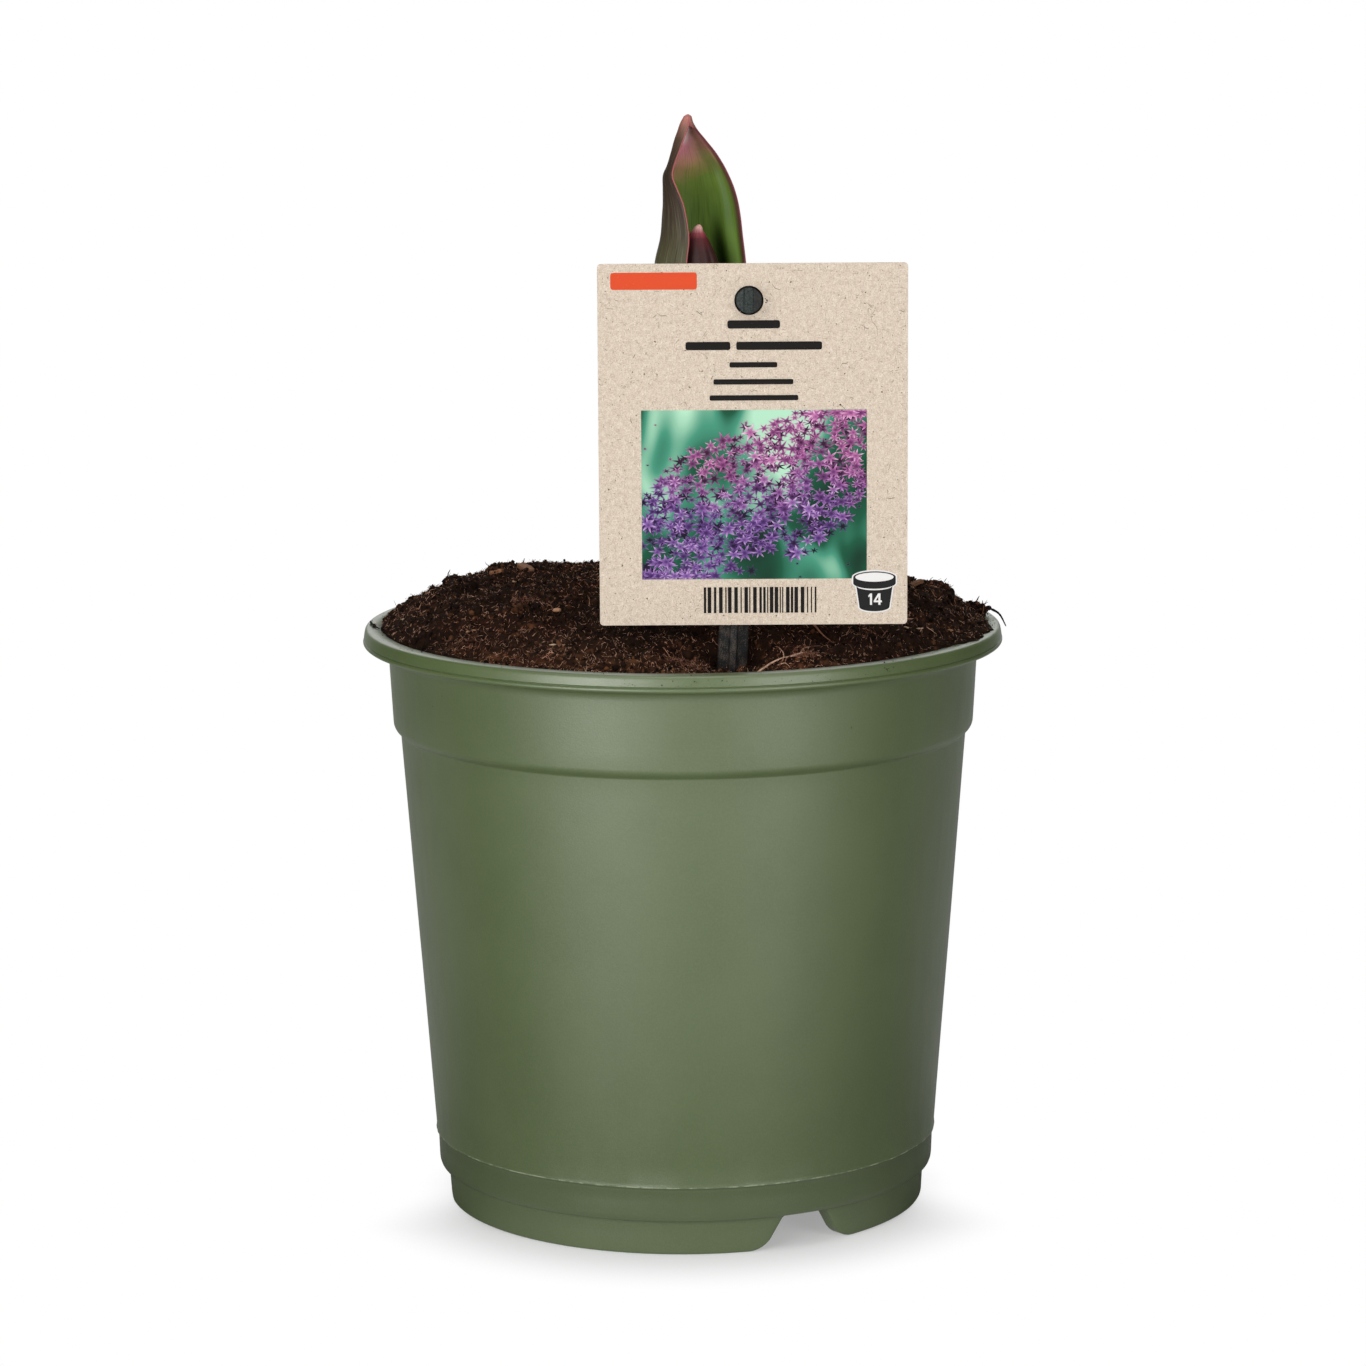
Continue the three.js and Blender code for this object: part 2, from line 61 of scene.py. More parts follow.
# Mesh helpers

def gridFaces(rows, columns, first=0, closed=True):
    here = np.arange(columns if closed else columns - 1)
    beside = (here + 1) % columns
    faces = []
    for row in range(rows - 1):
        start = first + row * columns
        quads = [start + here, start + beside, start + columns + beside, start + columns + here]
        faces += np.stack(quads, 1).tolist()
    return faces


def capped(rings):
    # Closed body from rings of points, with a fan over the first and the last ring
    rows, columns = rings.shape[:2]
    points = np.concatenate([rings.reshape(-1, 3), rings[:1].mean(1), rings[-1:].mean(1)])
    faces = gridFaces(rows, columns)
    foot, head, top = rows * columns, rows * columns + 1, (rows - 1) * columns
    for c in range(columns):
        n = (c + 1) % columns
        faces.append((foot, n, c))
        faces.append((head, top + c, top + n))
    return points, faces


def joined(shapes):
    points, faces, first = [], [], 0
    for shapePoints, shapeFaces in shapes:
        points.append(np.asarray(shapePoints, float))
        faces += [tuple(first + i for i in face) for face in shapeFaces]
        first += len(shapePoints)
    return np.concatenate(points), faces


def copiesOf(faces, places):
    # The same shape many times, where places holds the moved points of each copy
    count, size = places.shape[:2]
    steps = np.arange(count)[:, None] * size
    groups = [(np.asarray(face)[None] + steps).tolist() for face in faces]
    return places.reshape(-1, 3), [f for group in groups for f in group]


def turnsOf(count):
    # Angles that share out a whole turn
    return np.arange(count) / count * 2 * math.pi


def addMesh(name, points, faces):
    mesh = bpy.data.meshes.new(name)
    mesh.from_pydata((np.asarray(points) * mm).tolist(), [], faces)
    piece = bpy.data.objects.new(name, mesh)
    bpy.context.collection.objects.link(piece)
    return piece


def addPiece(name, shape, material, slot, replaces=(), sharpAngle=None, **values):
    piece = addMesh(name, *shape)
    for key, numbers in values.items():
        layer = piece.data.attributes.new(key, "FLOAT", "POINT")
        layer.data.foreach_set("value", np.asarray(numbers, np.float32))
    piece.data.materials.append(material)
    piece.data.shade_smooth()
    if sharpAngle:
        piece.data.set_sharp_from_angle(angle=math.radians(sharpAngle))
    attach(piece, "root")
    if replaces:
        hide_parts(*replaces)
    return piece


def waves(points, scale, octaves=3, seed=0):
    # Smooth noise, about -1 to 1, at each row of points
    shift = Vector((seed * 17.3, seed * 5.1, seed * 9.7))
    return np.array([noise.fractal(Vector(p) * scale + shift, 1.0, 2.1, octaves) for p in points])


def smoothStep(low, high, value):
    share = np.clip((np.asarray(value, float) - low) / (high - low), 0, 1)
    return share * share * (3 - 2 * share)


def curveThrough(knots, values, at):
    # Smooth curve through values at rising knots, with no overshoot
    knots, values = np.asarray(knots, float), np.asarray(values, float)
    gaps = np.diff(knots)
    slopes = np.diff(values) / gaps
    tangents = np.concatenate([[slopes[0]], (slopes[1:] + slopes[:-1]) / 2, [slopes[-1]]])
    turning = slopes[1:] * slopes[:-1] <= 0
    tangents[1:-1][turning] = 0
    i = np.clip(np.searchsorted(knots, at) - 1, 0, len(gaps) - 1)
    t = np.clip((at - knots[i]) / gaps[i], 0, 1)
    start, end = values[i], values[i + 1]
    return ((2 * t**3 - 3 * t**2 + 1) * start + (t**3 - 2 * t**2 + t) * gaps[i] * tangents[i]
            + (3 * t**2 - 2 * t**3) * end + (t**3 - t**2) * gaps[i] * tangents[i + 1])


def rounded(corners, steps=4):
    # Outline through (x, y, rounding) corners, with a curve at each corner that has a rounding
    line = []
    for i, (x, y, rounding) in enumerate(corners):
        here = np.array([x, y], float)
        if not rounding or i in (0, len(corners) - 1):
            line.append(here)
            continue
        before = np.array(corners[i - 1][:2], float) - here
        after = np.array(corners[i + 1][:2], float) - here
        start = here + before / np.linalg.norm(before) * min(rounding, np.linalg.norm(before) * 0.45)
        end = here + after / np.linalg.norm(after) * min(rounding, np.linalg.norm(after) * 0.45)
        for step in range(steps + 1):
            t = step / steps
            line.append((1 - t)**2 * start + 2 * t * (1 - t) * here + t**2 * end)
    return np.array(line)


def roundedLoop(corners, steps=4):
    # The same for a closed outline
    again = [corners[-1]] + list(corners) + [corners[0]]
    return rounded(again, steps)[1:-1]


def taken(shape):
    # Points and faces of a bmesh, which is then freed
    shape.verts.index_update()
    points = np.array([v.co for v in shape.verts])
    faces = [[v.index for v in f.verts] for f in shape.faces]
    shape.free()
    return points, faces


def slab(outlines, front, back, edge=0.0):
    # Flat plate facing the front from (x, z) outlines, the later ones holes, with softened front edges
    shape, sides = bmesh.new(), []
    for outline in outlines:
        ring = [shape.verts.new((x, back, z)) for x, z in outline]
        sides += [shape.edges.new((ring[i - 1], ring[i])) for i in range(len(ring))]
    bmesh.ops.triangle_fill(shape, use_beauty=True, use_dissolve=False, edges=sides)
    made = bmesh.ops.extrude_face_region(shape, geom=shape.faces[:])
    moved = [v for v in made["geom"] if isinstance(v, bmesh.types.BMVert)]
    bmesh.ops.translate(shape, vec=(0, front - back, 0), verts=moved)
    bmesh.ops.recalc_face_normals(shape, faces=shape.faces[:])
    if edge:
        level = [e for e in shape.edges if abs(e.verts[0].co.y - e.verts[1].co.y) < 1e-6]
        sharp = [e for e in level if e.calc_face_angle(0) > 0.7]
        bmesh.ops.bevel(shape, geom=sharp, offset=edge, segments=2, profile=0.5, affect="EDGES")
    return taken(shape)


def ballShape(steps):
    shape = bmesh.new()
    bmesh.ops.create_icosphere(shape, subdivisions=steps, radius=1)
    return taken(shape)


def randomTurns(draw, count):
    # Turning matrices with no favoured direction
    q = draw.normal(size=(count, 4))
    w, x, y, z = (q / np.linalg.norm(q, axis=1, keepdims=True)).T
    rows = [1 - 2 * (y * y + z * z), 2 * (x * y - w * z), 2 * (x * z + w * y),
            2 * (x * y + w * z), 1 - 2 * (x * x + z * z), 2 * (y * z - w * x),
            2 * (x * z - w * y), 2 * (y * z + w * x), 1 - 2 * (x * x + y * y)]
    return np.stack(rows, 1).reshape(count, 3, 3)


def threads(paths, radii, sides=3):
    # Thin tapered tubes along paths of (count, points, 3), with a radius at each point
    along = np.gradient(paths, axis=1)
    along /= np.linalg.norm(along, axis=2, keepdims=True) + 1e-12
    helper = np.where(np.abs(along[:, :1, 2:]) < 0.8, [[[0.0, 0.0, 1.0]]], [[[1.0, 0.0, 0.0]]])
    across = np.cross(along, np.broadcast_to(helper, along.shape))
    across /= np.linalg.norm(across, axis=2, keepdims=True) + 1e-12
    third = np.cross(along, across)
    turn = turnsOf(sides)[:, None]
    ring = across[:, :, None] * np.cos(turn) + third[:, :, None] * np.sin(turn)
    count, rows = paths.shape[:2]
    points = (paths[:, :, None] + ring * radii[:, :, None, None]).reshape(count, rows * sides, 3)
    faces = [tuple(f) for f in gridFaces(rows, sides)]
    ends = [tuple(range(sides - 1, -1, -1)), tuple((rows - 1) * sides + i for i in range(sides))]
    if sides == 3:
        return copiesOf(faces + ends, points)
    return points.reshape(-1, 3), copiesOf(faces, points)[1] + copiesOf(ends, points)[1]


# Shader helpers

def feed(socket, value):
    if isinstance(value, bpy.types.NodeSocket):
        socket.id_data.links.new(value, socket)
    else:
        socket.default_value = value


def addNode(tree, kind, inputs=(), **settings):
    node = tree.nodes.new("ShaderNode" + kind)
    for key, value in settings.items():
        setattr(node, key, value)
    for key, value in dict(inputs).items():
        feed(node.inputs[key], value)
    return node


def calc(operation, *numbers, clamp=False):
    # A sum in the tree that the sockets among the numbers belong to
    tree = next(n.id_data for n in numbers if isinstance(n, bpy.types.NodeSocket))
    return addNode(tree, "Math", enumerate(numbers), operation=operation, use_clamp=clamp).outputs[0]


def times(*numbers):
    product = numbers[0]
    for number in numbers[1:]:
        product = calc("MULTIPLY", product, number)
    return product


def plus(first, second):
    return calc("ADD", first, second)


def scaled(value, factor, offset):
    return calc("MULTIPLY_ADD", value, factor, offset)


def between(low, high, value):
    # Rises smoothly from 0 at low to 1 at high
    inputs = {"Value": value, "From Min": low, "From Max": high}
    return addNode(value.id_data, "MapRange", inputs, interpolation_type="SMOOTHSTEP").outputs[0]


def blend(share, first, second, kind="MIX"):
    parts = (share, first, second)
    tree = next(p.id_data for p in parts if isinstance(p, bpy.types.NodeSocket))
    inputs = {key: colourOf(p) if isinstance(p, tuple) else p for key, p in zip((0, 6, 7), parts)}
    return addNode(tree, "Mix", inputs, data_type="RGBA", blend_type=kind).outputs[2]


def zoned(colour, values, *zones):
    # Each zone lies over the last: its strength, its colour, and limits, each a value's name, start and end
    for strength, tint, *limits in zones:
        mask = times(*(between(low, high, values[key]) for key, low, high in limits))
        colour = blend(times(mask, strength), colour, tint)
    return colour


def ramp(value, *stops):
    node = addNode(value.id_data, "ValToRGB", {"Fac": value})
    bar = node.color_ramp
    while len(bar.elements) < len(stops):
        bar.elements.new(0.5)
    for element, (place, *colour) in zip(bar.elements, stops):
        element.position, element.color = place, colourOf(colour)
    return node.outputs["Color"]


def placeIn(tree, *stretch):
    # Object coordinates in millimetres, times a stretch for each axis
    coordinates = addNode(tree, "TexCoord").outputs["Object"]
    scale = tuple(s / mm for s in stretch or (1, 1, 1))
    return addNode(tree, "VectorMath", {0: coordinates, 1: scale}, operation="MULTIPLY").outputs[0]


def partsOf(place):
    return addNode(place.id_data, "SeparateXYZ", {0: place}).outputs


def noiseAt(place, scale, detail=2.0, roughness=0.5):
    inputs = {"Vector": place, "Scale": scale, "Detail": detail, "Roughness": roughness}
    return addNode(place.id_data, "TexNoise", inputs).outputs[0]


def lengthOf(place):
    return addNode(place.id_data, "VectorMath", {0: place}, operation="LENGTH").outputs["Value"]


def valueOf(tree, name):
    return addNode(tree, "Attribute", attribute_name=name).outputs["Fac"]


def newMaterial(name, roughness, specular):
    material = bpy.data.materials.new(name)
    material.use_nodes = True
    inputs = material.node_tree.nodes["Principled BSDF"].inputs
    inputs["Roughness"].default_value = roughness
    inputs["Specular IOR Level"].default_value = specular
    return material, material.node_tree


def finished(material, colour, height=None, strength=0.0, distance=0.0, roughness=None):
    # Feeds the shader its colour and, where given, the bumps and the roughness
    inputs = material.node_tree.nodes["Principled BSDF"].inputs
    feed(inputs["Base Color"], colour)
    if height is not None:
        bump = {"Height": height, "Strength": strength, "Distance": distance * mm}
        feed(inputs["Normal"], addNode(material.node_tree, "Bump", bump).outputs[0])
    if roughness is not None:
        feed(inputs["Roughness"], roughness)
    return material


def newGroup(name, outputs, **inputs):
    group = bpy.data.node_groups.new(name, "ShaderNodeTree")
    for label, value in inputs.items():
        socket = group.interface.new_socket(label, in_out="INPUT", socket_type="NodeSocketFloat")
        socket.default_value = value
    for label in outputs:
        group.interface.new_socket(label, in_out="OUTPUT", socket_type="NodeSocketFloat")
    return group, group.nodes.new("NodeGroupInput").outputs, group.nodes.new("NodeGroupOutput").inputs


def useGroup(tree, group, **inputs):
    node = tree.nodes.new("ShaderNodeGroup")
    node.node_tree = group
    for key, value in inputs.items():
        feed(node.inputs[key], value)
    return node.outputs


def makeGrainGroup():
    # Moulding grain: fine bumps for the height and a slow drift for the tone
    group, given, out = newGroup("mouldedGrain", ["Height", "Tone"], Size=0.4, Drift=14.0)
    place = placeIn(group)
    feed(out["Height"], noiseAt(place, calc("DIVIDE", 1.0, given["Size"]), 3.0, 0.6))
    feed(out["Tone"], noiseAt(place, calc("DIVIDE", 1.0, given["Drift"]), 3.0, 0.55))
    return group


def makeDustGroup():
    # Peat dust: crisp specks inside soft patches
    group, given, out = newGroup("peatDust", ["Mask"], Size=0.5, Amount=0.3)
    place = placeIn(group)
    specks = noiseAt(place, calc("DIVIDE", 1.0, given["Size"]), 2.0, 0.7)
    patches = noiseAt(place, calc("DIVIDE", 0.12, given["Size"]), 2.0, 0.5)
    limit = calc("SUBTRACT", 0.78, times(given["Amount"], 0.42))
    level = plus(specks, times(calc("SUBTRACT", patches, 0.5), 0.5))
    feed(out["Mask"], calc("MULTIPLY", calc("SUBTRACT", level, limit), 16.0, clamp=True))
    return group


def makeStreakGroup():
    # Veins that run up a leaf: noise drawn out along its rise
    group, given, out = newGroup("leafStreaks", ["Fine"], Across=0.0, Rise=0.0, Count=60.0)
    wide, tall = times(given["Across"], given["Count"]), times(given["Rise"], 0.09)
    drawnOut = addNode(group, "CombineXYZ", {"X": wide, "Y": tall}).outputs[0]
    feed(out["Fine"], noiseAt(drawnOut, 1.0, 3.0, 0.6))
    return group


grainGroup = makeGrainGroup()
dustGroup = makeDustGroup()
streakGroup = makeStreakGroup()
print("shader groups ready")


# Camera, light and floor

view = {
    "place": (0, -1004, 289),   # fitted to the rim, the foot and the card's edges
    "pitch": -9.86,
    "roll": -0.33,
    "lens": 122.12,
}


def addCamera():
    data = bpy.data.cameras.new("camera")
    data.lens = view["lens"]
    data.sensor_width = 36
    camera = bpy.data.objects.new("camera", data)
    bpy.context.collection.objects.link(camera)
    camera.location = Vector(view["place"]) * mm
    camera.rotation_mode = "QUATERNION"
    tilt = Quaternion((1, 0, 0), math.radians(90 + view["pitch"]))
    camera.rotation_quaternion = tilt @ Quaternion((0, 0, 1), math.radians(view["roll"]))
    bpy.context.scene.camera = camera


studio = {
    # name: angle from the front, height angle, distance, width, height, power
    "leftKey": (-31, 10, 1500, 900, 1100, 20.0),
    "rightKey": (36, 8, 1500, 560, 1300, 11.9),
    "topSoftbox": (0, 78, 1300, 1200, 1000, 9.0),
    "backFill": (180, 25, 1900, 1500, 900, 6.5),
}


def addLight(name, angle, climb, distance, width, height, power):
    data = bpy.data.lights.new(name, "AREA")
    data.shape = "RECTANGLE"
    data.size, data.size_y = width * mm, height * mm
    data.energy = power
    light = bpy.data.objects.new(name, data)
    bpy.context.collection.objects.link(light)
    a, e = math.radians(angle), math.radians(climb)
    aim = Vector((0, 0, 100))
    away = Vector((math.sin(a) * math.cos(e), -math.cos(a) * math.cos(e), math.sin(e)))
    light.location = (aim + away * distance) * mm
    light.rotation_euler = away.to_track_quat("Z", "Y").to_euler()


surroundings = {
    "room": 0.02,         # dark studio at the sides and in front
    "backdrop": 0.74,     # white behind the pot, seen in its edges
    "backdropEdge": (0.75, 0.98),
    "shown": 1.0,
}


def addSurroundings():
    world = bpy.data.worlds.new("studio")
    bpy.context.scene.world = world
    world.use_nodes = True
    tree = world.node_tree
    background = tree.nodes["Background"]
    direction = addNode(tree, "TexCoord").outputs["Generated"]
    back = addNode(tree, "SeparateXYZ", {0: direction}).outputs["Y"]
    white = between(*surroundings["backdropEdge"], back)
    lit = scaled(white, surroundings["backdrop"], surroundings["room"])
    seen = addNode(tree, "LightPath").outputs["Is Camera Ray"]
    strength = addNode(tree, "Mix", {0: seen, 2: lit, 3: surroundings["shown"]}, data_type="FLOAT").outputs[0]
    background.inputs["Color"].default_value = (1, 1, 1, 1)
    feed(background.inputs["Strength"], strength)


floorLook = {
    "radii": (60, 220, 700), "steps": 96, "height": -0.05,
    "fade": (50, 79),       # distances over which the shadow round the foot turns into plain white
    "behind": (18, 50, 53, -35, 0),      # how much shorter it is behind the pot: amount, distances, depths
    "shade": 0.55, "lift": 0.33,         # seen by the camera alone
    "bounce": 0.25,                      # what the floor throws back at the pot
    "footGlow": (0.34, 86, 62, -15, -50),            # bright floor just in front of the foot ring
    "glow": ((0.9, -40, -340), (0.26, 0, 70)),       # bright floor that the pot mirrors, in front and behind
}


def addFloor():
    look, turn = floorLook, turnsOf(floorLook["steps"])
    level = 0 * turn + look["height"]
    rings = [np.stack([r * np.cos(turn), r * np.sin(turn), level], 1) for r in look["radii"]]
    points = np.concatenate(rings + [[[0, 0, look["height"]]]])
    faces = [tuple(reversed(f)) for f in gridFaces(len(rings), len(turn))]
    faces += [(len(points) - 1, i, (i + 1) % len(turn)) for i in range(len(turn))]
    floor = addMesh("floor", points, faces)
    material = bpy.data.materials.new("paleFloor")
    material.use_nodes = True
    floor.data.materials.append(material)
    tree = material.node_tree
    tree.nodes.clear()

    def node(kind, *inputs):
        return addNode(tree, kind, enumerate(inputs)).outputs[0]

    def matt(level):
        return node("BsdfDiffuse", (level, level, level, 1))

    def bright(level):
        return addNode(tree, "Emission", {"Strength": level}).outputs[0]

    place = placeIn(tree)
    depth, distance = partsOf(place)["Y"], lengthOf(place)
    front, back = (times(between(start, end, depth), strength) for strength, start, end in look["glow"])
    strength, start, end, low, high = look["footGlow"]
    byFoot = times(between(start, end, distance), between(low, high, depth), strength)
    mirrored = node("AddShader", matt(look["bounce"]), bright(plus(plus(front, back), byFoot)))
    near = node("AddShader", matt(look["shade"]), bright(look["lift"]))
    shorter, start, end, low, high = look["behind"]
    outside = times(between(start, end, distance), between(low, high, depth))
    fade = between(*look["fade"], scaled(outside, shorter, distance))
    seen = addNode(tree, "LightPath").outputs["Is Camera Ray"]
    above = node("MixShader", seen, mirrored, node("MixShader", fade, near, bright(1.0)))
    fromBelow = addNode(tree, "NewGeometry").outputs["Backfacing"]
    surface = node("MixShader", fromBelow, above, node("BsdfTransparent"))
    feed(addNode(tree, "OutputMaterial").inputs["Surface"], surface)


addCamera()
for lightName, lightValues in studio.items():
    addLight(lightName, *lightValues)
addSurroundings()
addFloor()
bpy.context.scene.view_settings.view_transform = "Standard"
print("camera, lights and floor ready")


# Pot

pot = {
    "rimRadius": 70, "rimTop": 128, "lipDepth": 3.2, "bandRadius": 64.5, "bandFootRadius": 63.7,
    "wallTopRadius": 62.1, "wallFootRadius": 54.8,
    "stepHeight": 105, "partingHeight": 15.4, "wall": 1.1,
    "footRadius": 53, "footHeight": 7.7, "footWall": 1.6, "base": 1.4,
    "notches": (29, 149, 269), "notchTop": 5, "notchFoot": 13.1, "notchCorner": 6.2, "notchBend": 50,
    "drainRadius": 4, "drainRings": ((8, 41), (4, 20)), "drainSides": 40,
    "drainCut": ((-3, 0.6), (-0.9, 0.45), (-0.45, 0), (0.45, 0), (0.9, 0.45), (3, 0.6)),   # height and flare
    "flash": 0.16,             # how far the parting line's ragged lip stands out
    "ripple": 0.05,
    "columns": 288, "notchColumn": 1.0, "notchReach": 17,      # more columns round each notch
    "plateReach": 45.5,        # the base plate is flat, so its edges take no smoothing
    "soilEdge": 65.1, "longestStep": 4.5,
}


def wallRadius(z):
    share = (z - pot["footHeight"]) / (pot["stepHeight"] - pot["footHeight"])
    return pot["wallFootRadius"] + (pot["wallTopRadius"] - pot["wallFootRadius"]) * share


def potProfile():
    foot, top, band, step = pot["footHeight"], pot["rimTop"], pot["bandRadius"], pot["stepHeight"]
    ring, line, thick, rim = pot["footRadius"], pot["partingHeight"], pot["wall"], pot["rimRadius"]
    bead, bandFoot, soilEdge = top - pot["lipDepth"], pot["bandFootRadius"], pot["soilEdge"]
    corners = [
        (0, foot, 0), (20, foot, 0), (44, foot, 0),
        (ring - pot["footWall"], foot, 0.6),
        (ring - pot["footWall"] - 0.3, 0, 0.5),
        (ring - 0.4, 0, 0.6),
        (ring, foot, 0.3),
        (pot["wallFootRadius"], foot, 1.5),
        (wallRadius(line - 0.5) - 0.3, line - 0.6, 0),
        (wallRadius(line) - 0.2, line - 0.25, 0),
        (wallRadius(line) + 0.1, line, 0),
        (wallRadius(line) + 0.05, line + 0.25, 0),
        (wallRadius(line + 0.8), line + 0.9, 0),
        (wallRadius(step), step, 0.3),
        (bandFoot - 0.1, step + 1.25, 0.95),
        (band, top - 5.4, 0.9),
        (band + 0.7, bead - 1.2, 0.9),
        (rim - 0.5, bead - 0.55, 0.4),
        (rim, bead - 0.15, 0.25),
        (rim, bead + 0.35, 0.2),
        (rim - 0.45, bead + 0.62, 0.1),
        (rim - 0.14, bead + 0.86, 0.12),
        (rim - 0.45, top - 0.5, 0.5),
        (rim - 1.0, top - 0.03, 0.4),
        (rim - 3.9, top, 0.3),
        (soilEdge + 0.4, top - 0.3, 0.3),
        (soilEdge, top - 0.9, 0.3),
        (band - 0.2, top - 3, 1.2),
        (band - thick, top - 6.6, 1.2),
        (bandFoot - thick, step + 2.4, 1),
        (wallRadius(step) - thick, step - 0.4, 1.2),
        (wallRadius(line) - thick, line, 0),
        (pot["wallFootRadius"] - thick, foot + pot["base"], 1.2),
        (30, foot + pot["base"], 0), (0, foot + pot["base"], 0),
    ]
    line = rounded(corners)
    filled = [line[0]]
    for start, end in zip(line[:-1], line[1:]):
        parts = max(1, math.ceil(np.linalg.norm(end - start) / pot["longestStep"]))
        if start[0] < 44 and end[0] < 45:
            parts = 1
        filled += [start + (end - start) * (i + 1) / parts for i in range(parts)]
    return np.array(filled)


def notchHeight(along):
    # How high the foot ring's lower edge lies at a distance along the ring from a notch's middle
    corner, foot = pot["notchCorner"], pot["notchFoot"]
    bend = math.radians(pot["notchBend"])
    bendEnd, bendTop = foot - corner * math.sin(bend), corner * (1 - math.cos(bend))
    inside = np.clip(foot - along, 0, corner * math.sin(bend))
    curved = corner - np.sqrt(corner**2 - inside**2)
    slope = (pot["footHeight"] - bendTop) / (bendEnd - pot["notchTop"])
    straight = bendTop + slope * (bendEnd - along)
    height = np.where(along > bendEnd, curved, straight)
    return np.minimum(height, pot["footHeight"] - 0.12)


def potColumns():
    angles = np.arange(pot["columns"]) * 360 / pot["columns"]
    reach = pot["notchReach"]
    for middle in pot["notches"]:
        angles = angles[np.abs(angles - middle) > reach]
        notch = np.arange(middle - reach, middle + reach + 0.01, pot["notchColumn"])
        angles = np.concatenate([angles, notch])
    return np.sort(angles)


def drainCutters():
    turn, middle = turnsOf(pot["drainSides"]), pot["footHeight"] + pot["base"] / 2
    for count, radius in pot["drainRings"]:
        for a in (np.arange(count) + 0.5) * 2 * math.pi / count:
            rings = []
            for height, flare in pot["drainCut"]:
                reach = pot["drainRadius"] + flare
                x = radius * math.cos(a) + reach * np.cos(turn)
                y = radius * math.sin(a) + reach * np.sin(turn)
                rings.append(np.stack([x, y, 0 * turn + middle + height], 1))
            yield addMesh("drain", *capped(np.array(rings)))


def cutHoles(piece):
    cutters = list(drainCutters())
    for cutter in cutters:
        cut = piece.modifiers.new("hole", "BOOLEAN")
        cut.operation, cut.solver, cut.object = "DIFFERENCE", "MANIFOLD", cutter
    ready = piece.evaluated_get(bpy.context.evaluated_depsgraph_get())
    mesh = bpy.data.meshes.new_from_object(ready)
    piece.modifiers.clear()
    piece.data = mesh
    near = [v.co.xy.length < pot["plateReach"] * mm for v in mesh.vertices]
    for edge in mesh.edges:
        edge.use_edge_sharp = all(near[i] for i in edge.vertices)
    for cutter in cutters:
        bpy.data.objects.remove(cutter)


def makePot():
    profile, angles = potProfile(), potColumns()
    azimuth = np.radians(angles)
    away = np.min([np.abs((angles - middle + 180) % 360 - 180) for middle in pot["notches"]], axis=0)
    lift = notchHeight(np.radians(away) * pot["footRadius"])
    thicker = 2.2 * smoothStep(17, 9, np.radians(away) * pot["footRadius"])
    ragged = waves(np.stack([np.sin(azimuth) * 9, np.cos(azimuth) * 9, azimuth * 0], 1), 1.0, 4, 3)
    flash = pot["flash"] * np.clip(0.45 + ragged * 1.3, 0.05, 1.4)
    rings = []
    for i, (radius, height) in enumerate(profile):
        r, z = np.full(len(angles), radius), np.full(len(angles), height)
        if 0 < i < 40 and height < pot["footHeight"] - 0.01 and radius < pot["footRadius"] + 0.01:
            z = lift + (pot["footHeight"] - lift) * height / pot["footHeight"]
            if radius < pot["footRadius"] - pot["footWall"] + 0.2:
                r = r - thicker * (1 - 0.2 * height / pot["footHeight"])
        elif abs(height - pot["partingHeight"] - 0.1) < 0.2 and radius > wallRadius(height) - 0.3:
            r = r + flash
        if radius > 20:
            along = np.full(len(angles), height * 0.03)
            bulge = np.stack([np.sin(azimuth) * 2, np.cos(azimuth) * 2, along], 1)
            r = r + pot["ripple"] * waves(bulge, 1.0, 2, 1)
        rings.append(np.stack([r * np.sin(azimuth), -r * np.cos(azimuth), z], 1))
    rings = np.array(rings)[1:-1]
    points, faces = capped(rings)
    points[-2] = (0, 0, profile[0][1])
    points[-1] = (0, 0, profile[-1][1])
    cutHoles(addPiece("nurseryPot", (points, faces), potMaterial(), "pot_plastic", ["pot"]))


def potMaterial():
    material, tree = newMaterial("sagePlastic", 0.4, 0.9)
    grain = useGroup(tree, grainGroup, Size=0.35, Drift=18.0)
    dust = useGroup(tree, dustGroup, Size=0.28, Amount=0.62)["Mask"]
    place, level = placeIn(tree), placeIn(tree, 1, 1, 0)
    height, foot, line = partsOf(place)["Z"], pot["footHeight"], pot["partingHeight"]
    offLine = calc("SUBTRACT", height, line + 0.08)
    values = {
        "height": height, "speckle": noiseAt(place, 2.4),
        "glintLine": calc("ABSOLUTE", offLine), "shadeUnderLine": calc("ABSOLUTE", plus(offLine, 0.36)),
    }
    # painted highlight: patchy pale glints along the parting line
    glints = scaled(between(0.42, 0.6, noiseAt(level, 0.3, 4.0, 0.7)), 0.75, 0.15)
    toned = zoned(
        ramp(grain["Tone"], (0.3, 0.066, 0.095, 0.031, 1), (0.7, 0.077, 0.108, 0.038, 1)), values,
        (0.3, (0.102, 0.132, 0.057, 1), ("speckle", 0.35, 0.7)),
        # painted highlight on the parting line
        (glints, (0.3, 0.34, 0.22, 1), ("glintLine", 0.17, 0.08)),
        # painted shade: a dark line just under the parting line's ragged lip
        (0.45, (0.035, 0.05, 0.02, 1), ("shadeUnderLine", 0.3, 0.1)),
        # painted shade: darker from the foot ring up to the parting line, where the wall turns inwards
        (0.3, (0.035, 0.05, 0.016, 1), ("height", foot - 0.2, foot + 0.8),
         ("height", line + 0.2, line - 1.5)))
    topEdge = times(between(126.6, 127.4, height), between(68.2, 65.6, lengthOf(level)))
    dusty = times(dust, topEdge)
    toned = blend(times(topEdge, 0.35), toned, (0.085, 0.085, 0.065, 1))
    toned = blend(dusty, toned, (0.035, 0.025, 0.018, 1))
    scuffs = scaled(noiseAt(placeIn(tree, 1, 1, 0.25), 0.35, 4.0, 0.65), 0.12, 0.34)
    rough = scaled(dusty, 0.3, scaled(topEdge, 0.3, scuffs))
    return finished(material, toned, grain["Height"], 0.5, 0.06, rough)


makePot()
print("pot ready")


# Peat

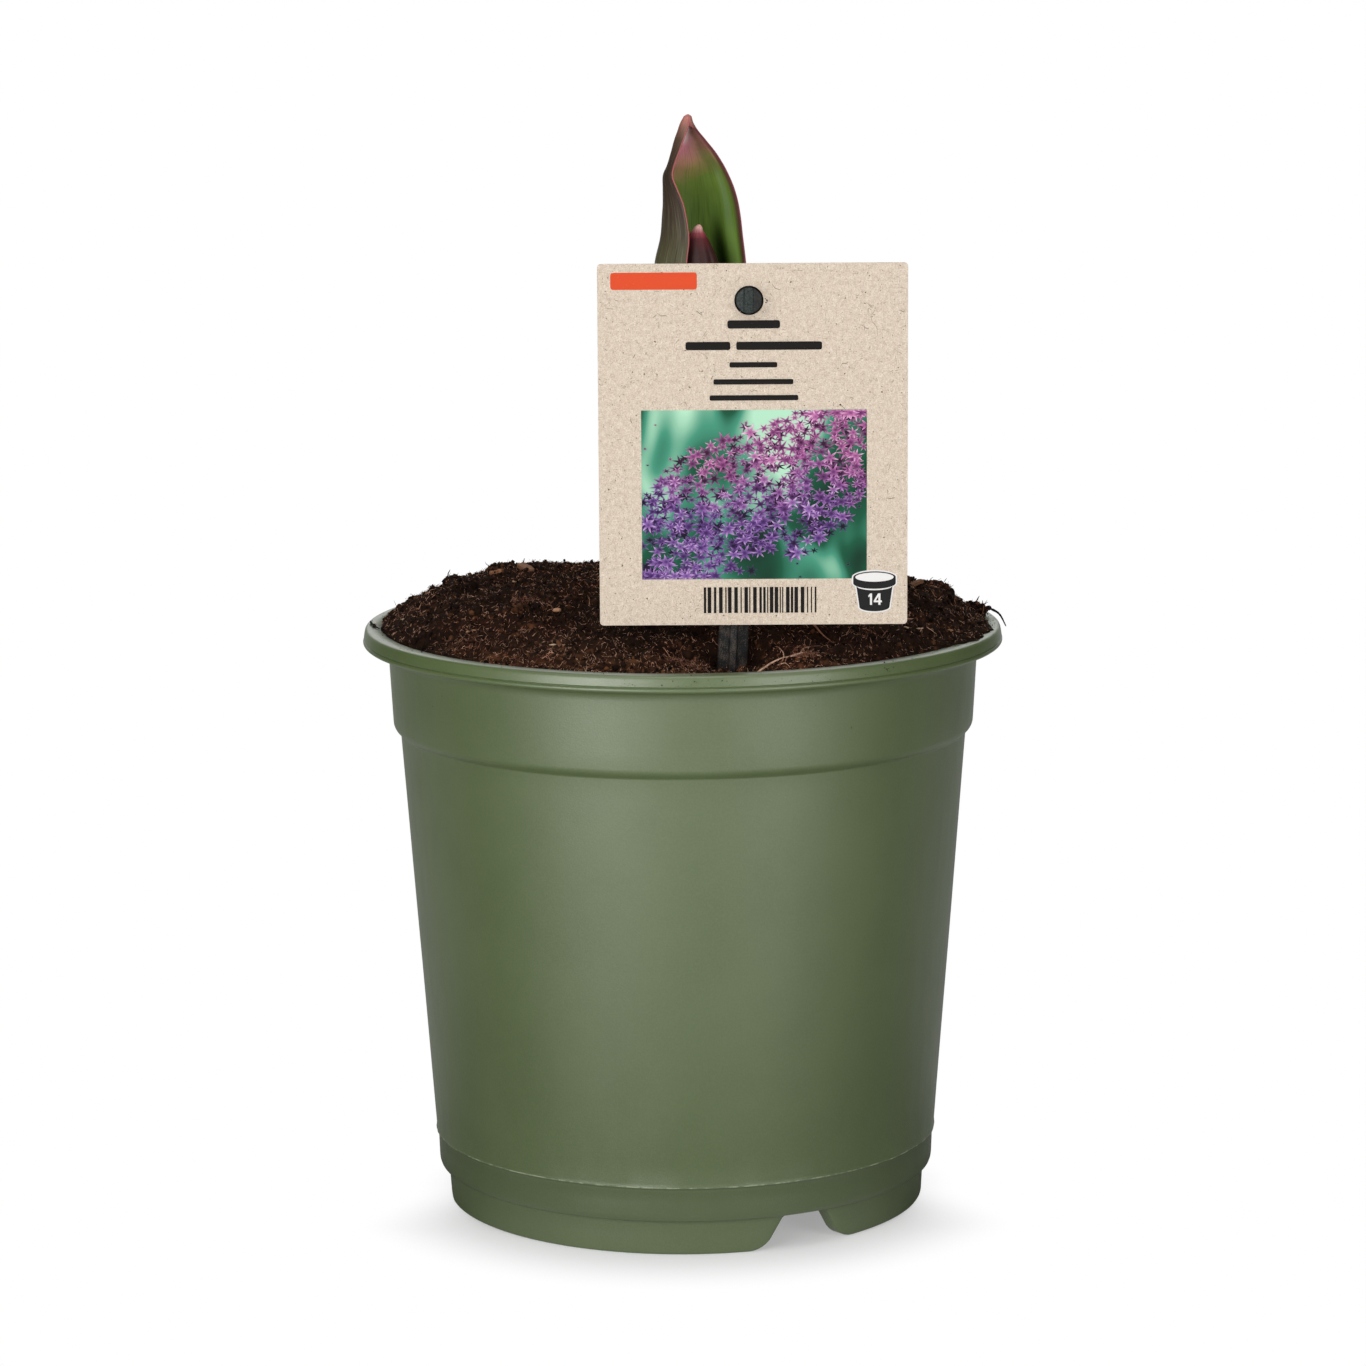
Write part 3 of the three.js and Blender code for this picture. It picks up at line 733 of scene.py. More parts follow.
heap = {
    "rimRadius": 64.6, "rimHeight": 126.6, "sideRise": 2.8, "height": 12.3,
    "domeFullness": 2, "sideFullness": 2.7,
    "dentDepth": 3.2, "dentRadius": 8,
    "spill": (0.3, 1.0), "spillRings": 5,       # how far the peat passes the rim, in front and at the sides
    "rightSpill": (2.4, 74, 15),                # more of it at the right: reach, angle and spread
    "rings": 92, "columns": 300,
    "lumps": ((0.10, 0.7, 3), (0.3, 0.85, 3), (0.95, 0.6, 3)),   # waves per millimetre, height, octaves
    # x, y, reach and depth of the hollows, which shade() also darkens as painted shade
    "hollows": ((6.5, -52.9, 2.2, 1.7), (14.3, -52.4, 2.2, 1.7), (-46, -3.5, 4.8, 2.2), (-38.5, -22, 3, 1.5),
                (-55, -32.5, 2.6, 1.6), (-6, -42, 5, 0.8), (52, -16, 4, 1.3), (40, 30, 5, 1.2),
                (43, -24, 3, 1.1), (-20, 34, 5, 1.3), (-52, -20, 3, 0.9), (30, -47, 2.4, 0.9)),
}

stake = {
    "pegX": 13.95, "pegZ": 203.7, "pegRadius": 2.7, "pegReach": 1.1,
    "width": 6.2, "thickness": 1.0, "ribWidth": 1.3, "ribHeight": 0.8, "sweep": 0.9,
    "top": 207.4, "bottom": 66, "point": 15, "lean": 2.77,
    "pegRidges": ((-1, -0.43, 0.08), (-0.32, 0.32, 0.0), (0.43, 1, 0.22)),   # shares of the radius, recess
}

card = {
    "left": -17.1, "bottom": 136.5, "width": 63.6, "height": 74.8, "corner": 0.9,
    "front": -56.7, "back": -56.2, "clearance": 0.3,
}


def stakeX(z):
    return stake["pegX"] - (stake["pegZ"] - z) * math.tan(math.radians(stake["lean"]))


def heapHeight(x, y):
    radius = np.maximum(np.hypot(x, y), 1e-6)
    side = (x / radius)**2
    share = np.minimum(1, radius / heap["rimRadius"])
    edge = heap["rimHeight"] + heap["sideRise"] * side
    fullness = heap["domeFullness"] + heap["sideFullness"] * side
    dome = (heap["height"] - heap["sideRise"] * side) * (1 - share**fullness)
    dent = np.hypot(x - stakeX(heap["rimHeight"]), y - card["back"]) / heap["dentRadius"]
    dentAtRim = np.minimum(1, heap["rimRadius"] * (1 - share) / 4)
    return edge + dome - heap["dentDepth"] * dentAtRim * np.exp(-dent * dent)


def hollowsAt(x, y):
    # The depth of each dark hollow, and how much of it there is at x and y
    for middleX, middleY, wide, deep in heap["hollows"]:
        yield deep, np.exp(-((x - middleX)**2 + (y - middleY)**2) / wide**2)


def peatHeight(x, y):
    # The heap with its lumps and hollows, as the loose pieces see it
    x, y = np.asarray(x, float), np.asarray(y, float)
    level = np.stack([x.ravel(), y.ravel(), np.zeros(x.size)], 1)
    inside = smoothStep(heap["rimRadius"], heap["rimRadius"] - 4, np.hypot(x, y)).ravel() * 0.75 + 0.25
    lumps = enumerate(heap["lumps"])
    rise = sum(high * waves(level, scale, octaves, seed) for seed, (scale, high, octaves) in lumps)
    top = heapHeight(x, y) + (rise * inside).reshape(x.shape)
    for deep, here in hollowsAt(x, y):
        top = top - deep * here
    return top


def shade(x, y):
    # How much of its colour a loose piece keeps: less in the hollows, as painted shade, and behind the card,
    # as the card's painted shadow, and more towards the front
    patches = waves(np.stack([x, y, x * 0], -1), 0.16, 3, 9)
    kept = (0.88 + 0.6 * smoothStep(-34, -58, y)) * (1 + 0.3 * patches)
    left, right = card["left"], card["left"] + card["width"]
    # painted shadow of the card on the peat behind it
    cardShadow = smoothStep(left - 3, left + 5, x) * smoothStep(right + 3, right - 5, x)
    cardShadow = cardShadow * smoothStep(-56, -51.5, y)
    kept = kept * (1 - 0.26 * cardShadow * smoothStep(-20, -40, y))
    # painted shade in the hollows
    for deep, here in hollowsAt(x, y):
        kept = kept * (1 - min(0.8, deep * 0.42) * here)
    return kept


def peatMaterial(name, dark, mid, light, tipShare=0.9):
    material, tree = newMaterial(name, 0.95, 0.08)
    place = placeIn(tree)
    tone = plus(valueOf(tree, "tone"), times(noiseAt(place, 0.5, 4.0, 0.6), 0.5))
    colour = ramp(calc("SUBTRACT", tone, 0.2), (0.0, *dark), (0.45, *mid), (tipShare, *light))
    colour = blend(between(0.46, 0.66, noiseAt(place, 0.07, 3.0)), colour, (1.1, 0.95, 0.9, 1), "MULTIPLY")
    return finished(material, colour, noiseAt(place, 3.5, 3.0, 0.7), 0.8, 0.25)


def spillReach(x, y):
    # How far beyond the rim's edge the peat lies in the direction of x and y
    radius = np.maximum(np.hypot(x, y), 1e-6)
    turn = np.stack([x / radius, y / radius, np.zeros_like(radius)], -1).reshape(-1, 3)
    ragged = 1 + 0.5 * waves(turn * np.array([16, -16, 0]), 1.0, 4, 6).reshape(radius.shape)
    front, sides = heap["spill"]
    reach, angle, spread = heap["rightSpill"]
    off = (np.degrees(np.arctan2(x, -y)) - angle) / spread
    return (front + sides * (x / radius)**2 + reach * np.exp(-off * off)) * np.clip(ragged, 0.5, 1.6)


def peatTop(x, y):
    # The peat's outer surface, with the fringe that lies over the rim
    radius = np.maximum(np.hypot(x, y), 1e-6)
    pull = np.minimum(1, heap["rimRadius"] / radius)
    edge, rimTop = peatHeight(x * pull, y * pull), pot["rimTop"] + 0.03
    rest = np.where(edge > rimTop, rimTop, edge - 0.35)
    share = np.clip((radius - heap["rimRadius"]) / spillReach(x, y), 0, 1)
    return edge + (rest - edge) * share**1.6


def makePeat():
    angles = turnsOf(heap["columns"])
    turn = np.stack([np.sin(angles), -np.cos(angles)], 1)
    spill = spillReach(turn[:, 0], turn[:, 1])
    inner = np.stack([turn * r for r in np.linspace(1.2, heap["rimRadius"], heap["rings"])])
    top = np.concatenate([inner, peatHeight(inner[..., 0], inner[..., 1])[..., None]], -1)
    over = []
    for step in range(heap["spillRings"]):
        reach = (heap["rimRadius"] + spill * (step + 1) / heap["spillRings"])[:, None] * turn
        over.append(np.column_stack([reach, peatTop(reach[:, 0], reach[:, 1])]))
    thick, floor = pot["wall"] + 0.3, pot["footHeight"] + pot["base"] + 0.3       # 0.3 mm of room in the pot
    inside = [(64.1, 124.9), (pot["bandRadius"] - thick, pot["rimTop"] - 6.6),
              (pot["bandFootRadius"] - thick, pot["stepHeight"] + 2.4),
              (wallRadius(pot["stepHeight"]) - thick, pot["stepHeight"] - 0.4),
              (pot["wallFootRadius"] - thick, floor), (20, floor)]
    wall = np.array([np.column_stack([turn * r, np.full(len(turn), z)]) for r, z in inside])
    rings = np.concatenate([wall[::-1], np.array(over)[::-1], top[::-1]])
    surface = rings[len(inside):].reshape(-1, 3)
    lightness = (0.3 + 0.35 * waves(surface, 0.9, 2, 8)) * shade(surface[:, 0], surface[:, 1])
    tone = np.concatenate([np.full(len(inside) * len(turn), 0.3), lightness, [0.3, 0.3]])
    addPiece("peatHeap", capped(rings), peatLook, "peat", ["soil"], tone=tone)


peatLook = peatMaterial("fibrousPeat", (9, 5, 3), (38, 23, 14), (98, 64, 42))
makePeat()
print("peat heap ready")


# Loose peat on the heap

crumbs = {
    # name: count, smallest and largest size, ball steps, seed
    "peatCrumbsFine": (14000, 0.2, 0.6, 0, 11),
    "peatCrumbsMiddle": (3800, 0.4, 1.1, 1, 12),
    "peatCrumbsCoarse": (180, 0.9, 1.7, 2, 13),
}

octahedron = (np.array([(1, 0, 0), (-1, 0, 0), (0, 1, 0), (0, -1, 0), (0, 0, 1), (0, 0, -1)], float),
              [(0, 2, 4), (2, 1, 4), (1, 3, 4), (3, 0, 4), (2, 0, 5), (1, 2, 5), (3, 1, 5), (0, 3, 5)])


def onHeap(draw, count):
    # Places all over the peat, fewer of them at the back
    angle = draw.random(count * 2) * 2 * math.pi
    outer = heap["rimRadius"] + 0.95 * spillReach(np.sin(angle), -np.cos(angle))
    radius = outer * np.sqrt(draw.random(count * 2))
    x, y = radius * np.sin(angle), -radius * np.cos(angle)
    kept = draw.random(count * 2) < 1 - 0.45 * smoothStep(-5, 25, y)
    return x[kept][:count], y[kept][:count]


def crumbCloud(draw, centres, sizes, steps):
    points, faces = octahedron if steps == 0 else ballShape(steps)
    count = len(centres)
    rough = 1 + draw.normal(0, 0.22, (count, len(points), 1)).clip(-0.45, 0.5)
    stretch = 1 + draw.uniform(-0.35, 0.6, (count, 1, 3))
    local = points[None] * rough * stretch * sizes[:, None, None]
    moved = np.einsum("nij,nkj->nki", randomTurns(draw, count), local) + centres[:, None]
    return copiesOf(faces, moved)


def makeCrumbs():
    for name, (count, smallest, largest, steps, seed) in crumbs.items():
        draw = np.random.default_rng(seed)
        x, y = onHeap(draw, count)
        sizes = (smallest + (largest - smallest) * draw.random(count)**2.5) / 2
        centres = np.stack([x, y, peatTop(x, y) + sizes * draw.uniform(-0.2, 0.7, count)], 1)
        shape = crumbCloud(draw, centres, sizes, steps)
        perCopy = len(shape[0]) // count
        tone = np.repeat(draw.random(count)**1.5 * (0.75 if steps < 2 else 0.4) * shade(x, y), perCopy)
        addPiece(name, shape, peatLook, "peat", tone=tone)


fibres = {
    # name: count, shortest, longest, thinnest, thickest, most climb, points along each, seed
    "peatFibresFine": (20500, 0.3, 0.85, 0.038, 0.066, 1.4, 2, 21),
    "peatFibresShort": (8000, 0.5, 1.3, 0.036, 0.064, 1.2, 3, 22),
    "peatFibresCurly": (900, 1.1, 3.0, 0.038, 0.066, 0.9, 6, 23),
}

fluff = {
    # x, y, spread, count of the reddish tufts
    "tufts": ((-33.5, -25.5, 2.2, 150), (0.5, -56.5, 3.4, 240), (25.6, -53.4, 1.7, 220), (-46, -41, 6, 160),
              (-30, -53, 7, 160), (38, -40, 5, 120), (-41, 21, 4, 100), (20, 44, 7, 120)),
    "length": (0.6, 1.9), "girth": (0.035, 0.06), "seed": 24,
}


def fibrePaths(draw, x, y, lengths, points, steepest=1.0):
    # Bent threads that start in the peat, where most lie flat and a few stand up
    count = len(x)
    heading = draw.random(count) * 2 * math.pi
    curl = draw.normal(0, 1.3, count)
    climb = draw.random(count)**2.2 * steepest
    start = draw.uniform(0.0, 0.42, count)
    share = np.linspace(0, 1, points)
    turn = heading[:, None] + curl[:, None] * share
    stride = (lengths * np.cos(climb) / (points - 1))[:, None]
    stepX, stepY = np.cos(turn) * stride, np.sin(turn) * stride
    px, py = x[:, None] + np.cumsum(stepX, 1) - stepX, y[:, None] + np.cumsum(stepY, 1) - stepY
    limit = np.minimum(1, (heap["rimRadius"] + spillReach(px, py)) / np.maximum(np.hypot(px, py), 1))
    px, py = px * limit, py * limit
    above = start[:, None] + (np.sin(climb) * lengths)[:, None] * share * (1 - 0.35 * share)
    return np.stack([px, py, peatTop(px, py) + above], -1)


def fibreRadii(draw, count, thinnest, thickest, points):
    girth = draw.uniform(thinnest, thickest, count)
    return girth[:, None] * np.interp(np.linspace(0, 1, points), [0, 0.4, 1], [0.8, 1.0, 0.35])


def makeFibres():
    for name, (count, shortest, longest, thinnest, thickest, steepest, points, seed) in fibres.items():
        draw = np.random.default_rng(seed)
        x, y = onHeap(draw, count)
        lengths = shortest + (longest - shortest) * draw.random(count)**1.6
        paths = fibrePaths(draw, x, y, lengths, points, steepest)
        radii = fibreRadii(draw, count, thinnest, thickest, points)
        tone = np.repeat((0.08 + 1.05 * draw.random(count)**2.2) * shade(x, y), points * 3)
        addPiece(name, threads(paths, radii), fibreLook, "peat", tone=tone)


def makeFluff():
    draw = np.random.default_rng(fluff["seed"])
    spots = []
    for x, y, spread, count in fluff["tufts"]:
        spots.append((x + draw.normal(0, spread * 0.6, count), y + draw.normal(0, spread * 0.6, count)))
    x, y = (np.concatenate(part) for part in zip(*spots))
    inside = np.hypot(x, y) < heap["rimRadius"] - 0.6
    x, y = x[inside], y[inside]
    paths = fibrePaths(draw, x, y, draw.uniform(*fluff["length"], len(x)), 4)
    radii = fibreRadii(draw, len(x), *fluff["girth"], 4)
    addPiece("peatFluff", threads(paths, radii), fluffLook, "peat", tone=np.repeat(draw.random(len(x)), 12))


fibreLook = peatMaterial("peatFibre", (16, 10, 6), (74, 47, 32), (214, 170, 144), 1.0)
fluffLook = peatMaterial("reddishFluff", (36, 20, 15), (86, 54, 42), (160, 114, 92), 1.05)
makeCrumbs()
makeFibres()
makeFluff()
print("loose peat ready")


# Lumps of peat

clods = {
    # name: node, shrink, shift, fall to the right, squareness, roughness, crumbs, threads, splinters, seed
    "clodCrest": ("peat_clod_crest", (0.82, 1, 0.9), (1.4, 0, -0.9), 0.1, 3.4, 0.3, 620, 200, 14, 31),
    "clodLeft": ("peat_clod_left", (0.8, 1, 0.9), (0.5, 0, -0.6), 0.1, 2.4, 0.36, 260, 80, 10, 32),
    "clodRight": ("peat_clod_right", (0.92, 1, 0.86), (-1.5, 0, -0.7), 0.4, 3.0, 0.36, 420, 150, 34, 33),
    "clodRim": ("peat_clod_rim", (0.9, 1, 0.8), (-0.2, 0, -0.8), 0.3, 2.4, 0.4, 240, 90, 26, 34),
    "clodFront": ("peat_clod_front", (0.95, 1, 0.9), (0, 0, -0.3), 0.2, 2.2, 0.36, 190, 80, 10, 35),
}

# Darkest, range and power of a clod's crumbs, threads and splinters
clodTones = ((0, 0.75, 1.5), (0.3, 0.7, 1), (0.2, 0.4, 1))


def nodeBox(node):
    low, high = (np.array(corner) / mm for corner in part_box(node))
    return (low + high) / 2, (high - low) / 2


def clodThreads(draw, spots, middle, count, longest=1.6, girth=(0.035, 0.06), rise=0.25):
    # Short threads or splinters that lie over the lump or stick out of it
    start = spots[draw.integers(len(spots), size=count)]
    out = (start - middle) / np.linalg.norm(start - middle, axis=1, keepdims=True)
    along = np.cross(out, draw.normal(size=(count, 3)))
    along /= np.linalg.norm(along, axis=1, keepdims=True)
    length = draw.uniform(0.4, longest, count)[:, None]
    lean = draw.random(count)[:, None]**2
    paths = np.stack([start, start + along * length * 0.5 + out * length * (0.1 + rise * lean),
                      start + along * length * (1 - 0.3 * lean) + out * length * (0.1 + rise) * lean], 1)
    return threads(paths, fibreRadii(draw, count, *girth, 3))


def makeClods():
    points, faces = ballShape(5)
    for name, (node, shrink, shift, fall, square, rough, *counts, seed) in clods.items():
        draw = np.random.default_rng(seed)
        middle, half = nodeBox(node)
        broad, fine = waves(points, 1.4, 2, seed), waves(points, 4.5, 4, seed + 1)
        blocky = points / np.linalg.norm(points, ord=square, axis=1, keepdims=True)
        shaped = blocky * (0.92 + rough * 0.45 * broad + rough * 0.4 * fine)[:, None]
        shaped[:, 2] -= fall * np.maximum(shaped[:, 0], 0)**2 * np.maximum(shaped[:, 2], 0)
        core = np.clip(shaped, -1.05, 1.05) * half * np.array(shrink) + middle + np.array(shift)
        spots = core[points[:, 2] > -0.25]
        chosen = spots[draw.integers(len(spots), size=counts[0])]
        shapes = [(core, faces), crumbCloud(draw, chosen, 0.16 + 0.42 * draw.random(counts[0])**2, 1)]
        shapes.append(clodThreads(draw, spots, middle, counts[1]))
        shapes.append(clodThreads(draw, spots, middle, counts[2], 2.6, (0.09, 0.2), 0.6))
        tones = [0.3 + 0.4 * fine]
        for count, (low, high, power), shape in zip(counts, clodTones, shapes[1:]):
            tones.append(low + high * np.repeat(draw.random(count)**power, len(shape[0]) // count))
        addPiece(name, joined(shapes), peatLook, "peat", [node], tone=np.concatenate(tones))


makeClods()
print("clods ready")


# Torn wood, roots and twigs on the peat

chips = {
    # name: node, x, y, length, width, height, turn, tip, dark and light colour, seed
    "chipTan": ("wood_chip_tan", -34.6, 9, 5.6, 2.3, 0.9, -66, -10, (74, 46, 30), (156, 112, 82), 41),
    "chipAmber": ("wood_chip_amber", -41, 8, 3.2, 1.3, 0.8, -25, 8, (84, 50, 30), (160, 110, 76), 42),
    "barkFlake": ("bark_flake", 51.3, 0.5, 3.4, 1.3, 0.8, 35, 8, (52, 33, 23), (136, 96, 68), 43),
}


def grainedMaterial(name, roughness, specular, stretch, scale, coarse, strength, depth, *stops):
    # Two or more colours along a drawn-out grain, which is the bumps too
    material, tree = newMaterial(name, roughness, specular)
    grain = noiseAt(placeIn(tree, *stretch), scale, 4.0, coarse)
    return finished(material, ramp(grain, *stops), grain, strength, depth)


def woodMaterial(name, dark, light):
    stops = (0.3, *dark), (0.68, *light)
    return grainedMaterial(name, 0.8, 0.25, (1.2, 3.0, 3.0), 1.4, 0.65, 0.7, 0.2, *stops)


def makeChips():
    for name, (node, x, y, length, width, height, turn, tip, dark, light, seed) in chips.items():
        points, faces = ballShape(4)
        along, side, up = points.T
        square = 1 / np.maximum(np.abs(points).max(1), 0.55)
        splinter = waves(np.stack([along * 0.6, side * 5, up * 5], 1), 1.0, 3, seed)
        ends = waves(np.stack([side * 4, up * 4, along * 0], 1), 1.0, 3, seed + 1)
        lx = along * square * (1 + 0.18 * ends) * length / 2
        ly = side * square * (1 - 0.35 * np.abs(along)**2) * (1 + 0.2 * splinter) * width / 2
        lz = up * square * (1 + 0.3 * splinter) * height / 2 + 0.12 * np.sin(3 * along)
        a, t = math.radians(turn), math.radians(tip)
        wx, wz = lx * math.cos(t) - lz * math.sin(t), lx * math.sin(t) + lz * math.cos(t)
        wx, wy = wx * math.cos(a) - ly * math.sin(a), wx * math.sin(a) + ly * math.cos(a)
        moved = np.stack([x + wx, y + wy, float(heapHeight(x, y)) + height * 0.8 + wz], 1)
        addPiece(name, (moved, faces), woodMaterial(name + "Wood", dark, light), "wood_chip", [node])


def alongCurve(points, count):
    points = np.asarray(points, float)
    knots = np.concatenate([[0], np.cumsum(np.linalg.norm(np.diff(points, axis=0), axis=1))])
    at = np.linspace(0, knots[-1], count)
    return np.stack([curveThrough(knots, points[:, i], at) for i in range(3)], 1)


def onPeat(spots, above):
    return [(x, y, float(peatHeight(x, y)) + above) for x, y in spots]


def branch(path, thick, seed, count=26, sides=9, tipShare=0.2):
    # One knobbly tapered twig
    line = alongCurve(path, count)
    share = np.linspace(0, 1, count)
    knobs = 1 + 0.22 * waves(np.stack([share * 14, share * 0, share * 0], 1), 1.0, 3, seed)
    radii = thick * knobs * (1 - (1 - tipShare) * share**1.4)
    radii[0] *= 0.6
    return threads(line[None], radii[None], sides)


def knob(centre, radius, seed):
    points, faces = ballShape(3)
    lumps = 1 + 0.3 * waves(points, 1.6, 3, seed)
    return points * lumps[:, None] * radius + np.array(centre), faces


twigs = {
    # Branches of each piece: points along the stem, where those on the peat are x and y only, and thickness
    "sprig": (([(15, -58.2), (18.6, -56.8), (21.2, -55.3), (23.0, -54.6)], 0.25),
              ([(19.6, -56.2), (21.2, -57.3), (22.2, -58.6)], 0.13),
              ([(21.0, -55.2), (20.8, -53.4), (19.9, -52.0)], 0.11),
              ([(21.4, -55.4), (23.2, -55.2), (24.2, -53.4), (26.0, -53.2), (27.4, -51.2)], 0.15),
              ([(22.0, -54.9), (23.6, -53.6), (25.6, -54.2), (27.0, -52.6), (28.6, -53.0)], 0.12),
              ([(24.4, -53.6), (25.0, -51.8), (26.6, -50.6)], 0.1)),
    "stem": ([(27.4, -41.5), (29.3, -43.8), (31.4, -46.4)], 0.24),
    "rimTwig": ([(67.7, 7.9, 129.6), (69.8, 5.9, 128.6), (71.2, 3.5, 126.2)], 0.3),
    "rimCurl": ([(-68.6, 2.1, 128.2), (-68.2, -1.2, 128.5), (-67.4, -4.2, 128.3), (-66.1, -7.7, 128.3)],
                0.26),
    "standing": (([(-61.7, -5.5, 129.6), (-62.2, -5.7, 132.2), (-62.9, -5.9, 134.2)], 0.09),
                 ([(66.0, 2.4, 129.0), (66.2, 2.0, 131.0), (66.9, 1.2, 132.4)], 0.13),
                 ([(-56.5, -16.0, 130.2), (-57.3, -16.2, 132.0), (-57.1, -16.8, 133.4)], 0.08)),
    "strand": ([(23.4, -50.5), (26.5, -50.0), (30.7, -48.9)], 0.11),
    "pale": ((116, 82, 66), (222, 184, 156)), "dry": ((80, 50, 36), (136, 94, 70)),
    "black": ((9, 7, 6), (34, 26, 22)),
}


def makeTwigs():
    pale = woodMaterial("paleRootSkin", *twigs["pale"])
    dry = woodMaterial("dryStemSkin", *twigs["dry"])
    black = woodMaterial("blackTwigSkin", *twigs["black"])
    sprig = [branch(onPeat(route, 0.45 if i else 0.5), thick, 51 + i)
             for i, (route, thick) in enumerate(twigs["sprig"])]
    addPiece("rootSprig", joined(sprig), pale, "dry_fibre", ["root_sprig"])
    route, thick = twigs["stem"]
    addPiece("dryStem", branch(onPeat(route, 0.5), thick, 55), dry, "dry_fibre", ["dry_stem"])
    route, thick = twigs["rimTwig"]
    twig = joined([branch(route, thick, 56, 18, 9, 0.35), knob(route[0], 0.55, 57)])
    addPiece("rimTwig", twig, black, "dark_twig", ["rim_twig"])
    route, thick = twigs["rimCurl"]
    curl = joined([branch(route, thick, 58, 24, 7, 0.5), knob(route[2], 0.45, 59)])
    addPiece("rimCurl", curl, black, "dark_twig")
    hairs = [branch(route, thick, 60 + i, 14, 5, 0.3) for i, (route, thick) in enumerate(twigs["standing"])]
    route, thick = twigs["strand"]
    addPiece("looseStrands", joined(hairs + [branch(onPeat(route, 0.4), thick, 66, 18, 5)]), dry, "dry_fibre")


flecks = {
    # x, y, length, width, turn and tone of pale bits on the peat, and a height for those on the pot's lip
    "bits": ((-26.6, -33.9, 1.9, 1.4, 20, 0.5), (-45.4, -37.8, 1.3, 0.7, 70, 0.4),
             (-44.2, -37.0, 0.9, 0.6, 10, 0.35), (-27.1, -48.3, 1.7, 0.5, 25, 0.9),
             (57.1, -27.2, 1.5, 0.8, -20, 0.3), (47.4, -34.7, 1.6, 0.6, -50, 0.7),
             (50.4, -32.3, 1.8, 0.45, 15, 0.8), (-36.5, -8.5, 1.0, 0.8, 0, 0.6),
             (-42, -30, 0.8, 0.5, 40, 0.3), (-60.5, -14, 1.6, 0.4, 80, 0.8), (12, 38, 1.8, 0.8, 30, 0.5),
             (-20, 40, 1.4, 0.9, 70, 0.6), (36, 22, 1.6, 0.7, -30, 0.5),
             (-67.2, -2.1, 0.7, 0.5, 60, 1.0, 128.5)),
    "seed": 81,
}


def makeFlecks():
    draw = np.random.default_rng(flecks["seed"])
    points, faces = ballShape(2)
    shapes, tones = [], []
    for x, y, length, width, turn, tone, *given in flecks["bits"]:
        height = given[0] if given else float(peatHeight(x, y)) + 0.45
        lumps = 1 + draw.normal(0, 0.14, (len(points), 1))
        local = points * lumps * np.array([length, width, width * 0.6]) / 2
        a = math.radians(turn)
        spin = np.array([[math.cos(a), -math.sin(a), 0], [math.sin(a), math.cos(a), 0], [0, 0, 1]])
        shapes.append((local @ spin.T + np.array([x, y, height]), faces))
        tones.append(np.full(len(points), tone))
    look = peatMaterial("paleFleck", (92, 58, 40), (150, 112, 84), (206, 178, 150))
    addPiece("paleFlecks", joined(shapes), look, "dry_fibre", tone=np.concatenate(tones))


specks = {
    # count, angles, radii and heights of the peat specks on the pot's lip
    "places": ((240, (-180, 180), (65.6, 68.8), (127.98, 128.02)),
               (520, (-180, 180), (65.1, 66.0), (127.75, 128.03)),
               (70, (-14, 42), (69.86, 69.92), (125.7, 127.2)), (8, (-60, 60), (64.35, 64.5), (107.5, 122)),
               (36, (60, 96), (66, 68.6), (128.0, 128.05))),
    "size": (0.04, 0.15), "seed": 82,
}


def makeSpecks():
    draw = np.random.default_rng(specks["seed"])
    centres = []
    for count, angles, radii, heights in specks["places"]:
        angle, radius = np.radians(draw.uniform(*angles, count)), draw.uniform(*radii, count)
        height = draw.uniform(*heights, count)
        centres.append(np.stack([radius * np.sin(angle), -radius * np.cos(angle), height], 1))
    centres = np.concatenate(centres)
    smallest, largest = specks["size"]
    shape = crumbCloud(draw, centres, smallest + (largest - smallest) * draw.random(len(centres))**3, 0)
    tone = np.repeat(draw.random(len(centres)) * 0.5, len(shape[0]) // len(centres))
    addPiece("lipSpecks", shape, peatLook, "peat", tone=tone)


makeChips()
makeTwigs()
makeFlecks()
makeSpecks()
print("wood, twigs and specks ready")


# Shoot

